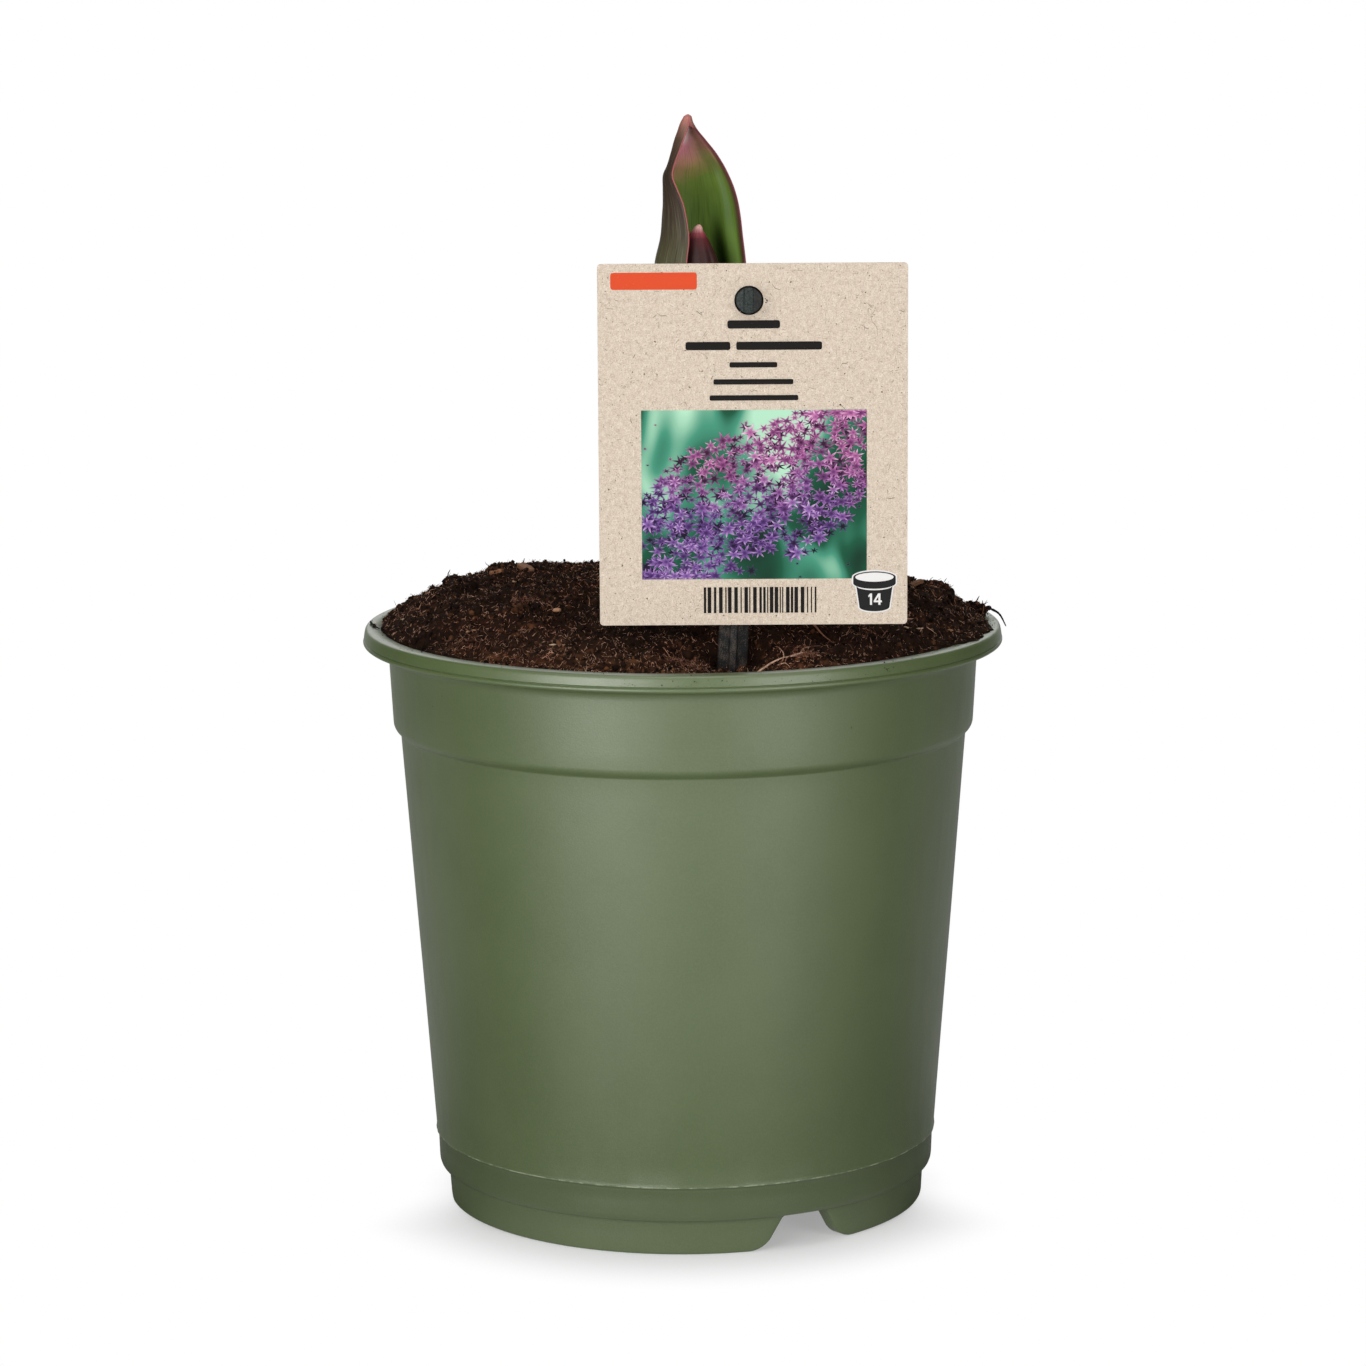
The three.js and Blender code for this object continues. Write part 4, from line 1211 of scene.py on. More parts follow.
outerLeaf = {
    # height, leftmost x, rightmost x, depth, middle y, angles of the two margins, clockwise from the front
    "stations": (
        (112.3, -3.3, 11.3, 14.6, 1.5, 8, 348), (128, -4.2, 12.4, 15.6, 1.5, 8, 346),
        (145, -5.6, 13.8, 16.8, 1.7, 8, 338), (165, -6.9, 15, 17.4, 2, 9, 322),
        (185, -6.8, 15.2, 17, 2.3, 12, 300), (200, -6.2, 14.7, 16, 2.7, 16, 284),
        (207, -5.6, 14.2, 15.2, 2.9, 18, 277), (212.2, -4.4, 13.6, 14.2, 3, 18.5, 273),
        (216.7, -4, 13.1, 13.3, 3, 23, 270), (220.1, -3.8, 12.5, 12.4, 3, 29, 268),
        (223.2, -3.8, 11.6, 11.5, 2.8, 38.6, 266), (225.8, -3.7, 10.5, 10.6, 2.6, 47, 264),
        (227.6, -2.9, 9.6, 9.6, 2.3, 50, 263), (230.5, -2, 7.8, 7.8, 1.8, 42, 262),
        (233.4, -1.2, 5.5, 5.4, 1.1, 26, 264), (235.3, -0.5, 3.95, 3.8, 0.6, 8, 285),
        (236.4, -0.15, 3.25, 3, 0.4, -10, 338), (237.2, 0.2, 2.85, 2.5, 0.3, -12, 346),
        (238, 0.65, 2.65, 2, 0.2, -12, 347), (238.8, 1.05, 2.45, 1.5, 0.2, -12, 347)),
    "thickness": 1.1, "edge": 0.3,
    "rows": 170, "columns": 60,
    "fold": (0.735, 0.045, 218, 204, 0.9),         # middle, width, where it starts and is full, depth
    "ridge": (0.83, 0.05, 230, 206, -0.35),
    "dome": 0.45,              # the rounded end of the tip
    # Zones of colour, each over the last: strength, colour, and limits: value, where it starts and is full
    "outside": (
        (0.6, (116, 116, 92), ("veins", 0.5, 0.75)),
        (0.6, (42, 32, 27), ("streaks", 0.5, 0.72))),
    "inside": (
        (0.8, (130, 152, 46), ("across", 0.42, 0.1), ("rise", 208, 224), ("rise", 228.5, 225)),
        (0.4, (120, 146, 66), ("veins", 0.5, 0.74)),
        (0.45, (52, 80, 26), ("streaks", 0.48, 0.7)),
        # valley: painted shade in the fold
        (0.92, (26, 42, 10), ("across", 0.67, 0.735), ("across", 0.79, 0.745), ("rise", 221, 209)),   # valley
        # band: painted light on the sheet where it flares out near the right margin
        (0.42, (106, 128, 92), ("across", 0.79, 0.83), ("across", 0.9, 0.86), ("rise", 231, 226)),     # band
        (0.85, (112, 142, 66), ("across", 0.775, 0.82), ("across", 0.93, 0.88), ("rise", 218, 211)),   # flank
        (0.85, (88, 50, 54), ("across", 0.9, 0.96)),
        # painted highlight: a pale streak on the fold under the tip
        (0.8, (236, 222, 216), ("rise", 231.5, 234.5), ("across", 0.25, 0.5), ("across", 0.7, 0.5)),
        (0.36, (50, 72, 24), ("rise", 212, 222), ("across", 0.84, 0.76), ("wavy", 0.5, 0.66)),
        (0.75, (78, 92, 40), ("rise", 224.5, 228.5), ("across", 0.94, 0.86), ("wavy", 0.65, 0.79)),
        # painted shade: mauve-brown zone right of the middle near the top
        (0.75, (116, 76, 70), ("wavy", 0.65, 0.79), ("rise", 229.5, 232.5))),
}

innerLeaf = {
    # height, middle x and y, radius across and front to back
    "stations": (
        (112.3, 4, 1.5, 4.6, 4.6), (140, 4.1, 1.6, 6, 5.4), (175, 4.2, 1.7, 5.8, 5),
        (195, 4.3, 1.6, 4.8, 4.2),
        (202, 4.3, 1.4, 4.4, 3.7), (207, 4.1, 1.2, 4.1, 3.2), (210.2, 3.8, 1, 3.1, 2.4),
        (212.3, 3.6, 0.9, 2.2, 1.6), (213.7, 3.7, 0.9, 1.25, 1), (214.6, 3.9, 0.9, 0.75, 0.65),
        (215, 4, 0.9, 0.25, 0.25)),
    "rows": 150, "columns": 64,
}


def leafRows(low, high, count):
    # Rows crowd towards the tip
    share = np.linspace(0, 1, count)
    return low + (high - low) * (1 - (1 - share)**1.7)


def makeOuterLeaf():
    table = np.array(outerLeaf["stations"], float)
    heights = leafRows(table[0, 0], table[-1, 0], outerLeaf["rows"])
    curves = [curveThrough(table[:, 0], column, heights) for column in table.T[1:7]]
    left, right, depth, middleY, start, end = curves
    dome = np.sqrt(np.clip((table[-1, 0] - heights) / outerLeaf["dome"], 0.004, 1))
    middleX, halfX, halfY = (left + right) / 2, (right - left) / 2 * dome, depth / 2 * dome
    u = np.linspace(0, 1, outerLeaf["columns"])
    turn = np.radians(start[:, None] + (end - start)[:, None] * u)
    thick = outerLeaf["edge"] + (outerLeaf["thickness"] - outerLeaf["edge"]) * (1 - np.abs(2 * u - 1)**4)
    thick = np.minimum(thick[None], 0.55 * np.minimum(halfX, halfY)[:, None])
    push = 0
    for middle, width, low, high, deep in (outerLeaf["fold"], outerLeaf["ridge"]):
        hill, rise = np.exp(-((u - middle) / width)**2)[None], smoothStep(low, high, heights)[:, None]
        push = push + deep * (hill * rise)

    def layer(inset):
        x = middleX[:, None] - (halfX[:, None] + push - inset) * np.sin(turn)
        y = middleY[:, None] - (halfY[:, None] + push - inset) * np.cos(turn)
        return np.stack([x, y, np.broadcast_to(heights[:, None], x.shape)], -1)

    outside, inside = layer(0), layer(thick)

    def margin(outer, inner, away):
        # Half round edge between the two faces
        centre, half = (outer + inner) / 2, (outer - inner) / 2
        reach, girth = (np.linalg.norm(part, axis=1, keepdims=True) for part in (away, half))
        out = away / (reach + 1e-9) * girth
        return [centre + half * math.cos(a) + out * math.sin(a) for a in np.radians([35, 75, 105, 145])]

    strips = [outside[:, i] for i in range(len(u))]
    strips += margin(outside[:, -1], inside[:, -1], outside[:, -1] - outside[:, -2])
    strips += [inside[:, i] for i in range(len(u) - 1, -1, -1)]
    strips += margin(inside[:, 0], outside[:, 0], outside[:, 0] - outside[:, 1])
    across = np.concatenate([u, np.ones(4), u[::-1], np.zeros(4)])
    within = np.concatenate([np.zeros(len(u)), [0.2, 0.4, 0.6, 0.8], np.ones(len(u)), [0.8, 0.6, 0.4, 0.2]])
    girth = (halfX + halfY)[:, None] * np.abs(turn[:, -1:] - turn[:, :1]) / 2
    fromEdge = np.minimum(across, 1 - across)[None] * girth
    values = {"across": across, "within": within, "fromEdge": fromEdge, "rise": heights[:, None]}
    for key, value in values.items():
        value = np.broadcast_to(value, fromEdge.shape)[:, ::-1]
        values[key] = np.concatenate([value.ravel(), [value[0].mean(), value[-1].mean()]])
    shape = capped(np.stack(strips, 1)[:, ::-1])
    addPiece("outerLeaf", shape, outerLeafMaterial(), "outer_leaf", ["outer_leaf"], **values)


def outerLeafMaterial():
    material, tree = newMaterial("outerLeafSkin", 0.5, 0.16)
    rise, across = valueOf(tree, "rise"), valueOf(tree, "across")
    streaks, veins = (useGroup(tree, streakGroup, Across=across, Rise=rise, Count=count)["Fine"]
                      for count in (90.0, 210.0))
    up = scaled(rise, 1 / 38, -200 / 38)
    wander = scaled(noiseAt(placeIn(tree), 0.35, 3.0), 0.12, -0.06)
    wavy = plus(across, times(wander, 1.5))
    values = {"rise": rise, "across": across, "wavy": wavy, "veins": veins, "streaks": streaks}
    outside = ramp(up, (0.0, 80, 82, 54), (0.25, 72, 68, 48), (0.45, 60, 49, 39), (0.7, 52, 38, 32),
                   (0.88, 78, 58, 46), (1.0, 150, 98, 88))
    slanted = plus(scaled(across, -0.2, 0.08), plus(up, wander))
    inside = ramp(slanted, (0.0, 72, 98, 32), (0.42, 88, 114, 42), (0.6, 104, 124, 50), (0.64, 134, 124, 72),
                  (0.73, 190, 136, 116), (0.82, 212, 134, 150), (0.92, 238, 206, 204), (1.0, 206, 128, 126))
    outside = zoned(outside, values, *outerLeaf["outside"])
    inside = zoned(inside, values, *outerLeaf["inside"])
    inner, rightward = between(0.45, 0.55, valueOf(tree, "within")), between(0.45, 0.55, across)
    leaf = blend(inner, outside, inside)
    edge = between(scaled(rightward, 0.5, 0.12), 0.0, valueOf(tree, "fromEdge"))
    leaf = blend(times(edge, 0.85), leaf, blend(rightward, (166, 88, 90), (120, 54, 66)))
    hood = times(between(235.8, 238.8, rise), calc("SUBTRACT", 1.0, inner))
    leaf = blend(times(hood, 0.8), leaf, (170, 108, 100))
    return finished(material, leaf, veins, 0.3, 0.12, scaled(streaks, 0.2, 0.38))


def makeInnerLeaf():
    table = np.array(innerLeaf["stations"], float)
    heights = leafRows(table[0, 0], table[-1, 0], innerLeaf["rows"])
    x, y, wide, deep = (curveThrough(table[:, 0], table[:, i], heights)[:, None] for i in range(1, 5))
    turn = turnsOf(innerLeaf["columns"])
    seam = 0.35 * np.exp(-((np.degrees(turn) - 40) / 9)**2) * smoothStep(213, 205, heights)[:, None]
    rings = np.stack([x + (wide - seam) * np.sin(turn), y - (deep - seam) * np.cos(turn),
                      np.broadcast_to(heights[:, None], (len(heights), len(turn)))], -1)
    rise = np.concatenate([np.repeat(heights, len(turn)), [heights[0], heights[-1]]])
    across = np.concatenate([np.tile(np.arange(len(turn)) / len(turn), len(heights)), [0, 0]])
    addPiece("innerLeaf", capped(rings), innerLeafMaterial(), "inner_leaf", ["inner_leaf"],
             rise=rise, across=across)


def innerLeafMaterial():
    material, tree = newMaterial("innerLeafSkin", 0.5, 0.25)
    rise = valueOf(tree, "rise")
    streaks = useGroup(tree, streakGroup, Across=valueOf(tree, "across"), Rise=rise, Count=60.0)["Fine"]
    colour = ramp(scaled(rise, 0.1, -20.5), (0.0, 50, 30, 27), (0.42, 54, 27, 26), (0.7, 84, 31, 36),
                  (0.82, 150, 66, 76), (0.94, 216, 164, 158))
    colour = zoned(colour, {"streaks": streaks}, (0.5, (50, 32, 28), ("streaks", 0.45, 0.7)))
    return finished(material, colour, streaks, 0.2, 0.12)


makeOuterLeaf()
makeInnerLeaf()
print("leaves ready")


# Label card

paperFlecks = {
    "specks": 1700, "speckSize": (0.06, 0.2),
    "byPeg": ((3.3, 0.35), (3.62, 0.0), (3.42, -0.45), (3.7, -0.3)), "byPegSize": 0.17,
    "hairs": 900, "hairLength": (0.3, 2.4), "hairGirth": (0.035, 0.07),
    "proud": 0.02,         # how far they stand out of the board, which is less than the ink does
    "seed": 91,
}


def boxCorners(left, low, right, high, corner):
    return [(left, low, corner), (right, low, corner), (right, high, corner), (left, high, corner)]


def cardOutline():
    left, bottom = card["left"], card["bottom"]
    corners = boxCorners(left, bottom, left + card["width"], bottom + card["height"], card["corner"])
    turn, reach = turnsOf(48), stake["pegRadius"] + card["clearance"]
    hole = np.stack([stake["pegX"] + reach * np.cos(turn), stake["pegZ"] + reach * np.sin(turn)], 1)
    return [roundedLoop(corners, 6), hole]


def cardMaterial():
    material, tree = newMaterial("recycledBoard", 0.85, 0.15)
    place = placeIn(tree)
    paper = ramp(noiseAt(place, 0.9, 5.0, 0.7), (0.3, 172, 157, 141), (0.5, 186, 172, 156),
                 (0.7, 197, 185, 170))
    mottle = ramp(noiseAt(place, 3.6, 3.0, 0.7), (0.36, 0.86, 0.86, 0.86, 1), (0.64, 1.13, 1.13, 1.13, 1))
    peg = (stake["pegX"] + 0.6, card["front"], stake["pegZ"] - 0.8)
    fromPeg = addNode(tree, "VectorMath", {0: place, 1: peg}, operation="DISTANCE").outputs["Value"]
    values = {
        "darkBits": noiseAt(place, 1.9, 2.0, 0.6),
        "hairs": noiseAt(placeIn(tree, 0.7, 1, 3.2), 1.5, 2.0, 0.6),
        "lightBits": noiseAt(placeIn(tree, 2.2, 1, 0.9), 1.3, 2.0, 0.6),
        "fromPeg": scaled(noiseAt(place, 0.5, 3.0), 2.6, fromPeg),
    }
    paper = zoned(
        blend(1.0, paper, mottle, "MULTIPLY"), values,
        (0.75, (88, 76, 66), ("darkBits", 0.69, 0.74)), (0.5, (112, 98, 84), ("hairs", 0.66, 0.72)),
        (0.5, (214, 204, 190), ("lightBits", 0.62, 0.7)), (0.3, (124, 112, 100), ("fromPeg", 7.4, 3.6)))
    return finished(material, paper, noiseAt(place, 3.0, 3.0, 0.6), 0.3, 0.05)


def fleckPlaces(draw, count):
    x = card["left"] + 0.4 + (card["width"] - 0.8) * draw.random(count)
    z = card["bottom"] + 0.4 + (card["height"] - 0.8) * draw.random(count)
    return np.stack([x, np.full(count, card["front"] - 0.005), z], 1)


def makeCardFlecks():
    # Bits of bark and hairs pressed into the recycled board
    draw, look = np.random.default_rng(paperFlecks["seed"]), paperFlecks
    count, hairCount = look["specks"], look["hairs"]
    spots = fleckPlaces(draw, count)
    smallest, largest = look["speckSize"]
    sizes = smallest + (largest - smallest) * draw.random(count)**3
    byPeg = [(stake["pegX"] + x, card["front"], stake["pegZ"] + z) for x, z in look["byPeg"]]
    sizes = np.append(sizes, np.full(len(byPeg), look["byPegSize"]))
    specks = crumbCloud(draw, np.concatenate([spots, byPeg]), sizes, 0)
    start = fleckPlaces(draw, hairCount)
    shortest, longest = look["hairLength"]
    length = shortest + (longest - shortest) * draw.random(hairCount)**2.5
    heading, bend = draw.random(hairCount) * 2 * math.pi, draw.normal(0, 0.5, hairCount)
    turn = np.stack([heading - bend, heading + bend], 1)
    step = np.stack([np.cos(turn), turn * 0, np.sin(turn)], -1) * (length / 2)[:, None, None]
    paths = np.stack([start, start + step[:, 0], start + step[:, 0] + step[:, 1]], 1)
    for axis, low, reach in ((0, card["left"], card["width"]), (2, card["bottom"], card["height"])):
        paths[..., axis] = paths[..., axis].clip(low + 0.2, low + reach - 0.2)
    hairs = threads(paths, fibreRadii(draw, hairCount, *look["hairGirth"], 3))
    for points, _ in (specks, hairs):
        points[:, 1] = points[:, 1].clip(card["front"] - look["proud"], card["front"] + 0.1)
    tone = [np.repeat(np.append(draw.random(count), np.zeros(len(byPeg))), 6),
            np.repeat(draw.random(hairCount), len(hairs[0]) // hairCount)]
    material, tree = newMaterial("boardFlecks", 0.85, 0.1)
    colour = ramp(valueOf(tree, "tone"), (0.0, 40, 33, 28), (0.3, 104, 90, 78), (0.64, 142, 127, 112),
                  (0.72, 212, 203, 190), (1.0, 218, 210, 198))
    finished(material, colour)
    addPiece("cardFlecks", joined([specks, hairs]), material, "label_card", tone=np.concatenate(tone))


def inkMaterial(name, ink, rubbed):
    material, tree = newMaterial(name, 0.7, 0.15)
    worn = between(0.62, 0.8, noiseAt(placeIn(tree), 2.4, 3.0, 0.6))
    return finished(material, blend(times(worn, 0.6), ink, rubbed))


ink = {
    "thickness": 0.03,
    "redBar": (2.7, 1.8, 20.4, 5.3),     # left, top, right and bottom from the card's top left corner
    "boldLines": ((12.5, 1.7, (26.6, 37.4)), (16.9, 1.7, (18, 27.2), (28.4, 46))),   # middle, height, bars
    "thinLines": ((20.8, 1.1, (27, 36.8)), (24.3, 1.1, (23.7, 40.1)), (27.6, 1.1, (22.9, 41.1))),
    "stripes": (21.5, 66.9, 44.8, 72.3), "seed": 61,
    "stripeWidths": (0.25, 0.5, 0.75), "stripeGaps": (0.25, 0.3, 0.55),
}

picture = {
    "frame": (8.8, 30.1, 55.2, 65.2),        # left, top, right and bottom
    # Shares of the width and height along the drift of blossoms
    "drift": ((0.0, 0.10), (0.22, 0.34), (0.5, 0.50), (0.78, 0.62), (1.0, 0.92)),
    "driftWidth": 0.46,
    "blossoms": 780, "petals": 6, "radius": (1.0, 2.1),
    "buds": 26, "seed": 71,
}

potFigure = {
    "middle": 56.8, "rimDown": 64.95,
    "rimHalf": 4.4, "rimRound": 1.2, "rimDeep": 1.25, "lidShare": 0.9,
    "bodyDown": 1.75, "bodyTop": 3.75, "bodyFoot": 3.1, "bodyDeep": 4.7, "outline": 0.28,
    "digitHigh": 2.4, "digitDown": 3.4, "digits": (("one", -1.75), ("four", -0.25)),       # with their shifts
}

digits = {
    # Outlines of plain figures, a unit high
    "one": ([(0.18, 0.78), (0.36, 1), (0.52, 1), (0.52, 0), (0.34, 0), (0.34, 0.76), (0.24, 0.66)],),
    "four": ([(0.42, 1), (0.62, 1), (0.62, 0.38), (0.74, 0.38), (0.74, 0.22), (0.62, 0.22), (0.62, 0),
              (0.44, 0), (0.44, 0.22), (0.04, 0.22), (0.04, 0.36)],
             [(0.44, 0.38), (0.44, 0.72), (0.22, 0.38)]),
}


def onCard(across, down):
    return card["left"] + across, card["bottom"] + card["height"] - down


def printLayer(outlines, lift, thick):
    front = card["front"] - lift
    return slab([[onCard(*spot) for spot in outline] for outline in outlines], front - thick, front)


def inkBar(left, top, right, bottom, corner):
    return printLayer([roundedLoop(boxCorners(left, bottom, right, top, corner), 3)], 0.0, ink["thickness"])


def addPrint(name, shape, material, **values):
    addPiece(name, shape, material, "label_card", sharpAngle=20, **values)


def starShape(petals):
    # A flat closed blossom of unit radius that faces the front: points as x, depth, z, with a tone for each
    pitch = 2 * math.pi / petals
    spots, tones = [(0.0, 0.0)], [-0.55]
    for i in range(petals):
        for turn, reach, tone in ((-0.5, 0.26, -0.3), (-0.17, 0.62, 0.0), (0.0, 1.0, 0.2), (0.13, 0.6, 0.05)):
            a = (i + turn) * pitch
            spots.append((reach * math.cos(a), reach * math.sin(a)))
            tones.append(tone)
    n = len(spots) - 1
    front = [(x, 0.0, z) for x, z in spots]
    points = np.array(front + [(x, 1.0, z) for x, z in spots[1:]])
    faces = [(0, 1 + i, 1 + (i + 1) % n) for i in range(n)]
    faces += [(1 + (i + 1) % n, 1 + i, 1 + n + i, 1 + n + (i + 1) % n) for i in range(n)]
    faces.append(tuple(1 + n + i for i in reversed(range(n))))
    return points, faces, np.array(tones + tones[1:])


def makePicture():
    draw = np.random.default_rng(picture["seed"])
    left, top, right, bottom = picture["frame"]
    wide, high, thick = right - left, bottom - top, ink["thickness"]
    addPrint("cardPicture", inkBar(left, top, right, bottom, 0.05), groundMaterial())
    count = picture["blossoms"] + picture["buds"]
    knots = np.array(picture["drift"])
    share = draw.random(count)
    middle = curveThrough(knots[:, 0], knots[:, 1], share)
    spread = draw.uniform(-1, 1, count) * picture["driftWidth"] * draw.uniform(0.75, 1, count)
    loose = np.arange(count) >= picture["blossoms"]
    up = np.where(loose, draw.random(count), (middle + spread).clip(0.02, 0.98))
    smallest, largest = picture["radius"]
    radius = np.where(loose, smallest * 0.5, smallest + (largest - smallest) * draw.random(count))[:, None]
    points, faces, tones = starShape(picture["petals"])
    x, z = onCard(left + wide * share, bottom - high * up)
    spin, squash = draw.random(count)[:, None] * 2 * math.pi, draw.uniform(0.55, 1.0, count)[:, None]
    px, pz = points[:, 0], points[:, 2]
    px, pz = px * np.cos(spin) - pz * np.sin(spin), px * np.sin(spin) + pz * np.cos(spin)
    lowX, lowZ = onCard(left + 0.05, bottom - 0.05)
    highX, highZ = onCard(right - 0.05, top + 0.05)
    over = draw.random(count)[:, None]
    layer = card["front"] - thick - 0.01 - 0.1 * over
    depth = np.where(points[:, 1] > 0.5, card["front"] - thick * 0.5, layer)
    x = (x[:, None] + px * radius).clip(lowX, highX)
    z = (z[:, None] + pz * (radius * squash)).clip(lowZ, highZ)
    light = 0.05 + 0.55 * over**0.8 + 0.4 * draw.random(count)[:, None] + tones
    shape = copiesOf(faces, np.stack([x, depth, z], -1))
    addPrint("pictureBlossoms", shape, blossomMaterial(), tone=light.ravel())


def groundMaterial():
    # Leaves out of focus behind the blossoms
    material, tree = newMaterial("printedLeaves", 0.7, 0.15)
    place = placeIn(tree)
    slant = addNode(tree, "VectorMath", {0: place, 1: (0.10, 0.0, 0.045)}, operation="MULTIPLY").outputs[0]
    bent = addNode(tree, "VectorMath", {0: slant, 1: noiseAt(place, 0.05, 1.0)}, operation="ADD").outputs[0]
    return finished(material, ramp(noiseAt(bent, 1.0, 1.0, 0.4), (0.33, 9, 38, 27), (0.44, 18, 74, 52),
                                   (0.54, 60, 130, 106), (0.68, 158, 200, 172)))


def blossomMaterial():
    material, tree = newMaterial("printedBlossoms", 0.7, 0.15)
    place, tone = placeIn(tree), valueOf(tree, "tone")
    violet = ramp(tone, (0.0, 22, 12, 34), (0.35, 70, 42, 98), (0.7, 126, 90, 152), (1.0, 188, 156, 198))
    pink = ramp(tone, (0.0, 44, 18, 42), (0.35, 118, 58, 106), (0.7, 172, 104, 150), (1.0, 214, 176, 200))
    drift = scaled(noiseAt(place, 0.09), 24.0, partsOf(place)["Z"])
    return finished(material, blend(between(168.0, 188.0, drift), violet, pink))


def arcPoints(middleX, middleDown, halfWide, halfHigh, start, end, count=22):
    angles = np.radians(np.linspace(start, end, count))
    return [(middleX + halfWide * math.cos(a), middleDown - halfHigh * math.sin(a)) for a in angles]


def figureOutlines(grow):
    # Rim band and body of the little pot, grown by a margin
    f = potFigure
    x, rim, flat = f["middle"], f["rimDown"], f["rimRound"]
    band = arcPoints(x, rim, f["rimHalf"] + grow, flat + grow, 180, 0)
    band += arcPoints(x, rim + f["rimDeep"], f["rimHalf"] + grow, flat + grow, 0, -180)
    top, foot = rim + f["bodyDown"], rim + f["bodyDown"] + f["bodyDeep"]
    body = arcPoints(x, top, f["bodyTop"] + grow, flat * 0.85, 180, 360)
    body += arcPoints(x, foot - 0.2, f["bodyFoot"] + grow, flat * 0.75 + grow, 0, -180)
    return band, body


def makePotFigure():
    f = potFigure
    white = inkMaterial("whiteInk", (206, 204, 202), (190, 184, 176))
    dark = inkMaterial("softBlackInk", (27, 26, 27), (46, 43, 41))
    for name, look, grow, lift, bodyThick in (("figureOutline", white, f["outline"], 0.0, 0.07),
                                              ("figurePot", dark, 0.0, 0.03, 0.055)):
        band, body = figureOutlines(grow)
        addPrint(name, joined([printLayer([band], lift, 0.06), printLayer([body], lift, bodyThick)]), look)
    lid = arcPoints(f["middle"], f["rimDown"], f["rimHalf"] * f["lidShare"], f["rimRound"] * 0.8, 0, 352, 45)
    shapes = [printLayer([lid], 0.05, 0.06)]
    high, foot = f["digitHigh"], f["rimDown"] + f["digitDown"] + f["digitHigh"]
    for name, shift in f["digits"]:
        left = f["middle"] + shift
        outlines = [[(left + x * high, foot - y * high) for x, y in line] for line in digits[name]]
        shapes.append(printLayer(outlines, 0.05, 0.05))
    addPrint("figureWhite", joined(shapes), white)


def makePrint():
    bars = []
    for middle, high, *spans in ink["boldLines"] + ink["thinLines"]:
        for start, end in spans:
            bars.append(inkBar(start, middle - high / 2, end, middle + high / 2, high * 0.3))
    draw = np.random.default_rng(ink["seed"])
    x, top, right, bottom = ink["stripes"]
    while x < right - 0.3:
        wide = draw.choice(ink["stripeWidths"])
        bars.append(inkBar(x, top, min(x + wide, right), bottom, 0.02))
        x += wide + draw.choice(ink["stripeGaps"])
    addPrint("cardPrintDark", joined(bars), inkMaterial("charcoalInk", (18, 15, 14), (74, 66, 60)))
    red = inkMaterial("orangeInk", (194, 68, 36), (196, 106, 78))
    addPrint("cardPrintOrange", inkBar(*ink["redBar"], 0.6), red)


def makeCard():
    shape = slab(cardOutline(), card["front"], card["back"], 0.06)
    addPiece("labelCard", shape, cardMaterial(), "label_card", ["label_card"], sharpAngle=20)
    makeCardFlecks()
    makePrint()
    makePicture()
    makePotFigure()


makeCard()
print("card ready")


# Stake

def stakeSection():
    half, rib = stake["width"] / 2, stake["ribWidth"] / 2
    front, sweep = stake["thickness"] / 2, stake["sweep"]
    corners = [
        (-half, sweep + front, 0.3), (-half, sweep - front + 0.3, 0.3), (-rib - 0.25, -front, 0.2),
        (-rib, -front - stake["ribHeight"], 0.25), (rib, -front - stake["ribHeight"], 0.25),
        (rib + 0.25, -front, 0.2), (half, sweep - front + 0.3, 0.3), (half, sweep + front, 0.3),
        (0, front, 0.8)]
    return roundedLoop(corners, 4)


def makeStake():
    section, low, top, point = stakeSection(), stake["bottom"], stake["top"], stake["point"]
    middleY = card["back"] + card["clearance"] + stake["thickness"] / 2 + stake["ribHeight"]
    heights = np.concatenate([np.linspace(low, low + point, 18), np.linspace(low + point + 3, top - 0.5, 50),
                              top - np.array([0.25, 0.08, 0.0])])
    rings = []
    for z in heights:
        taper = min(1.0, 0.12 + 0.88 * (z - low) / point)
        trim = 1 - 0.12 * max(0.0, (z - top + 0.5) / 0.5)**2
        x, y = stakeX(z) + section[:, 0] * taper * trim, middleY + section[:, 1] * trim
        rings.append(np.stack([x, y, np.full(len(section), z)], 1))
    turn, front, pegX, pegZ = turnsOf(40), card["back"] - stake["pegReach"], stake["pegX"], stake["pegZ"]
    rows = [(middleY, 1.0), (front + 0.75, 1.0), (front + 0.45, 0.985), (front + 0.33, 0.94),
            (front + 0.3, 0.86)]
    core = []
    for y, share in rows:
        reach = stake["pegRadius"] * share
        core.append(np.stack([pegX + reach * np.cos(turn), np.full(40, y), pegZ + reach * np.sin(turn)], 1))
    shapes = [capped(np.array(rings)[:, ::-1]), capped(np.array(core))]
    reach = stake["pegRadius"] * 0.96
    for low, high, recess in stake["pegRidges"]:
        arc = [math.acos(s * 0.97) for s in (low, high)]
        upper = [(math.cos(a), math.sin(a)) for a in np.linspace(*arc, 14)]
        outline = upper + [(x, -z) for x, z in reversed(upper)]
        spots = [(pegX + x * reach, pegZ + z * reach) for x, z in outline]
        if abs(low) == 1 or abs(high) == 1:
            spots = spots[:14] + spots[15:]
        shapes.append(slab([dedupe(spots)], front + recess, front + 0.5, 0.06))
    addPiece("labelStake", joined(shapes), stakeMaterial(), "stake_plastic", ["label_stake"])


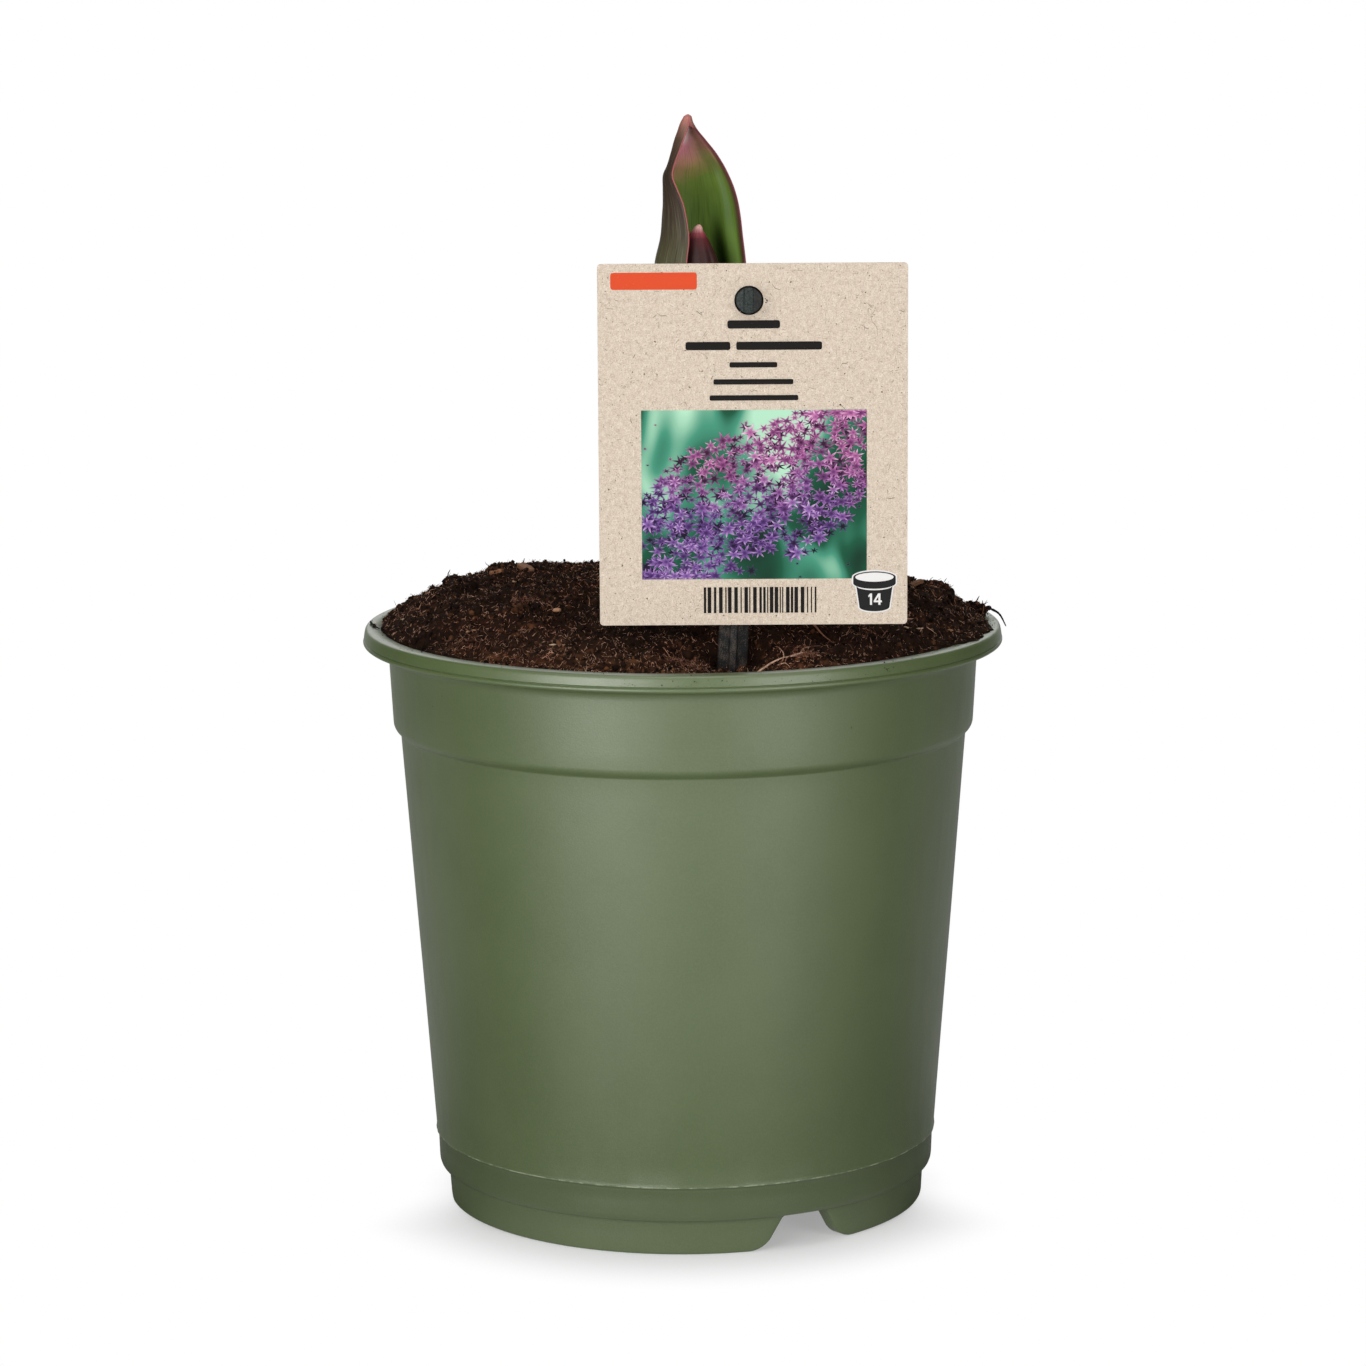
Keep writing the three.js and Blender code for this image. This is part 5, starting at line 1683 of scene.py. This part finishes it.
def dedupe(spots, gap=0.02):
    kept = []
    for spot in spots:
        if not kept or math.dist(spot, kept[-1]) > gap:
            kept.append(spot)
    return kept if math.dist(kept[0], kept[-1]) > gap else kept[:-1]


def stakeMaterial():
    material, tree = newMaterial("charcoalPlastic", 0.55, 0.14)
    grain = useGroup(tree, grainGroup, Size=0.25, Drift=5.0)
    dust = useGroup(tree, dustGroup, Size=0.22, Amount=0.6)["Mask"]
    place, peg = placeIn(tree), stake["pegX"]
    x, y, z = partsOf(place)
    values = {"x": x, "depth": y, "height": z, "worn": noiseAt(place, 2.6, 4.0, 0.8)}
    pegFront = ("height", 196, 198), ("depth", -56.6, -56.9)
    grey = zoned(
        ramp(grain["Tone"], (0.3, 15, 17, 18), (0.7, 25, 28, 30)), values,
        (0.6, (12, 12, 12), ("height", 132, 127.5)), (0.85, (58, 68, 65), *pegFront, ("worn", 0.34, 0.66)),
        (0.75, (30, 29, 29), *pegFront, ("x", peg + 0.5, peg + 1.5)))
    dusty = times(dust, scaled(between(160.0, 134.0, z), 0.35, 0.1))
    grey = blend(dusty, grey, (96, 84, 74))
    return finished(material, grey, grain["Height"], 0.35, 0.06, scaled(dusty, 0.35, 0.48))


makeStake()
print("stake ready")


# Bulb and roots, which stay the model's own meshes

hiddenLooks = {
    # name, roughness, specular, the grain's stretch, scale and coarseness, bump strength and depth, colours
    "bulb": ("bulbTunic", 0.6, 0.4, (1.6, 1.6, 0.12), 0.9, 0.6, 0.5, 0.2,
             (0.3, 150, 112, 72), (0.7, 222, 200, 160)),
    "root": ("fleshyRoot", 0.65, 0.4, (1, 1, 1), 0.8, 0.6, 0.4, 0.15,
             (0.3, 196, 176, 134), (0.7, 238, 228, 200)),
}


def dressHiddenPieces():
    looks = {kind: grainedMaterial(*values) for kind, values in hiddenLooks.items()}
    for node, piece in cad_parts.items():
        kind = node.split("_")[0]
        if kind in looks:
            piece.data.materials.clear()
            piece.data.materials.append(looks[kind])


dressHiddenPieces()
print("bulb and roots ready")
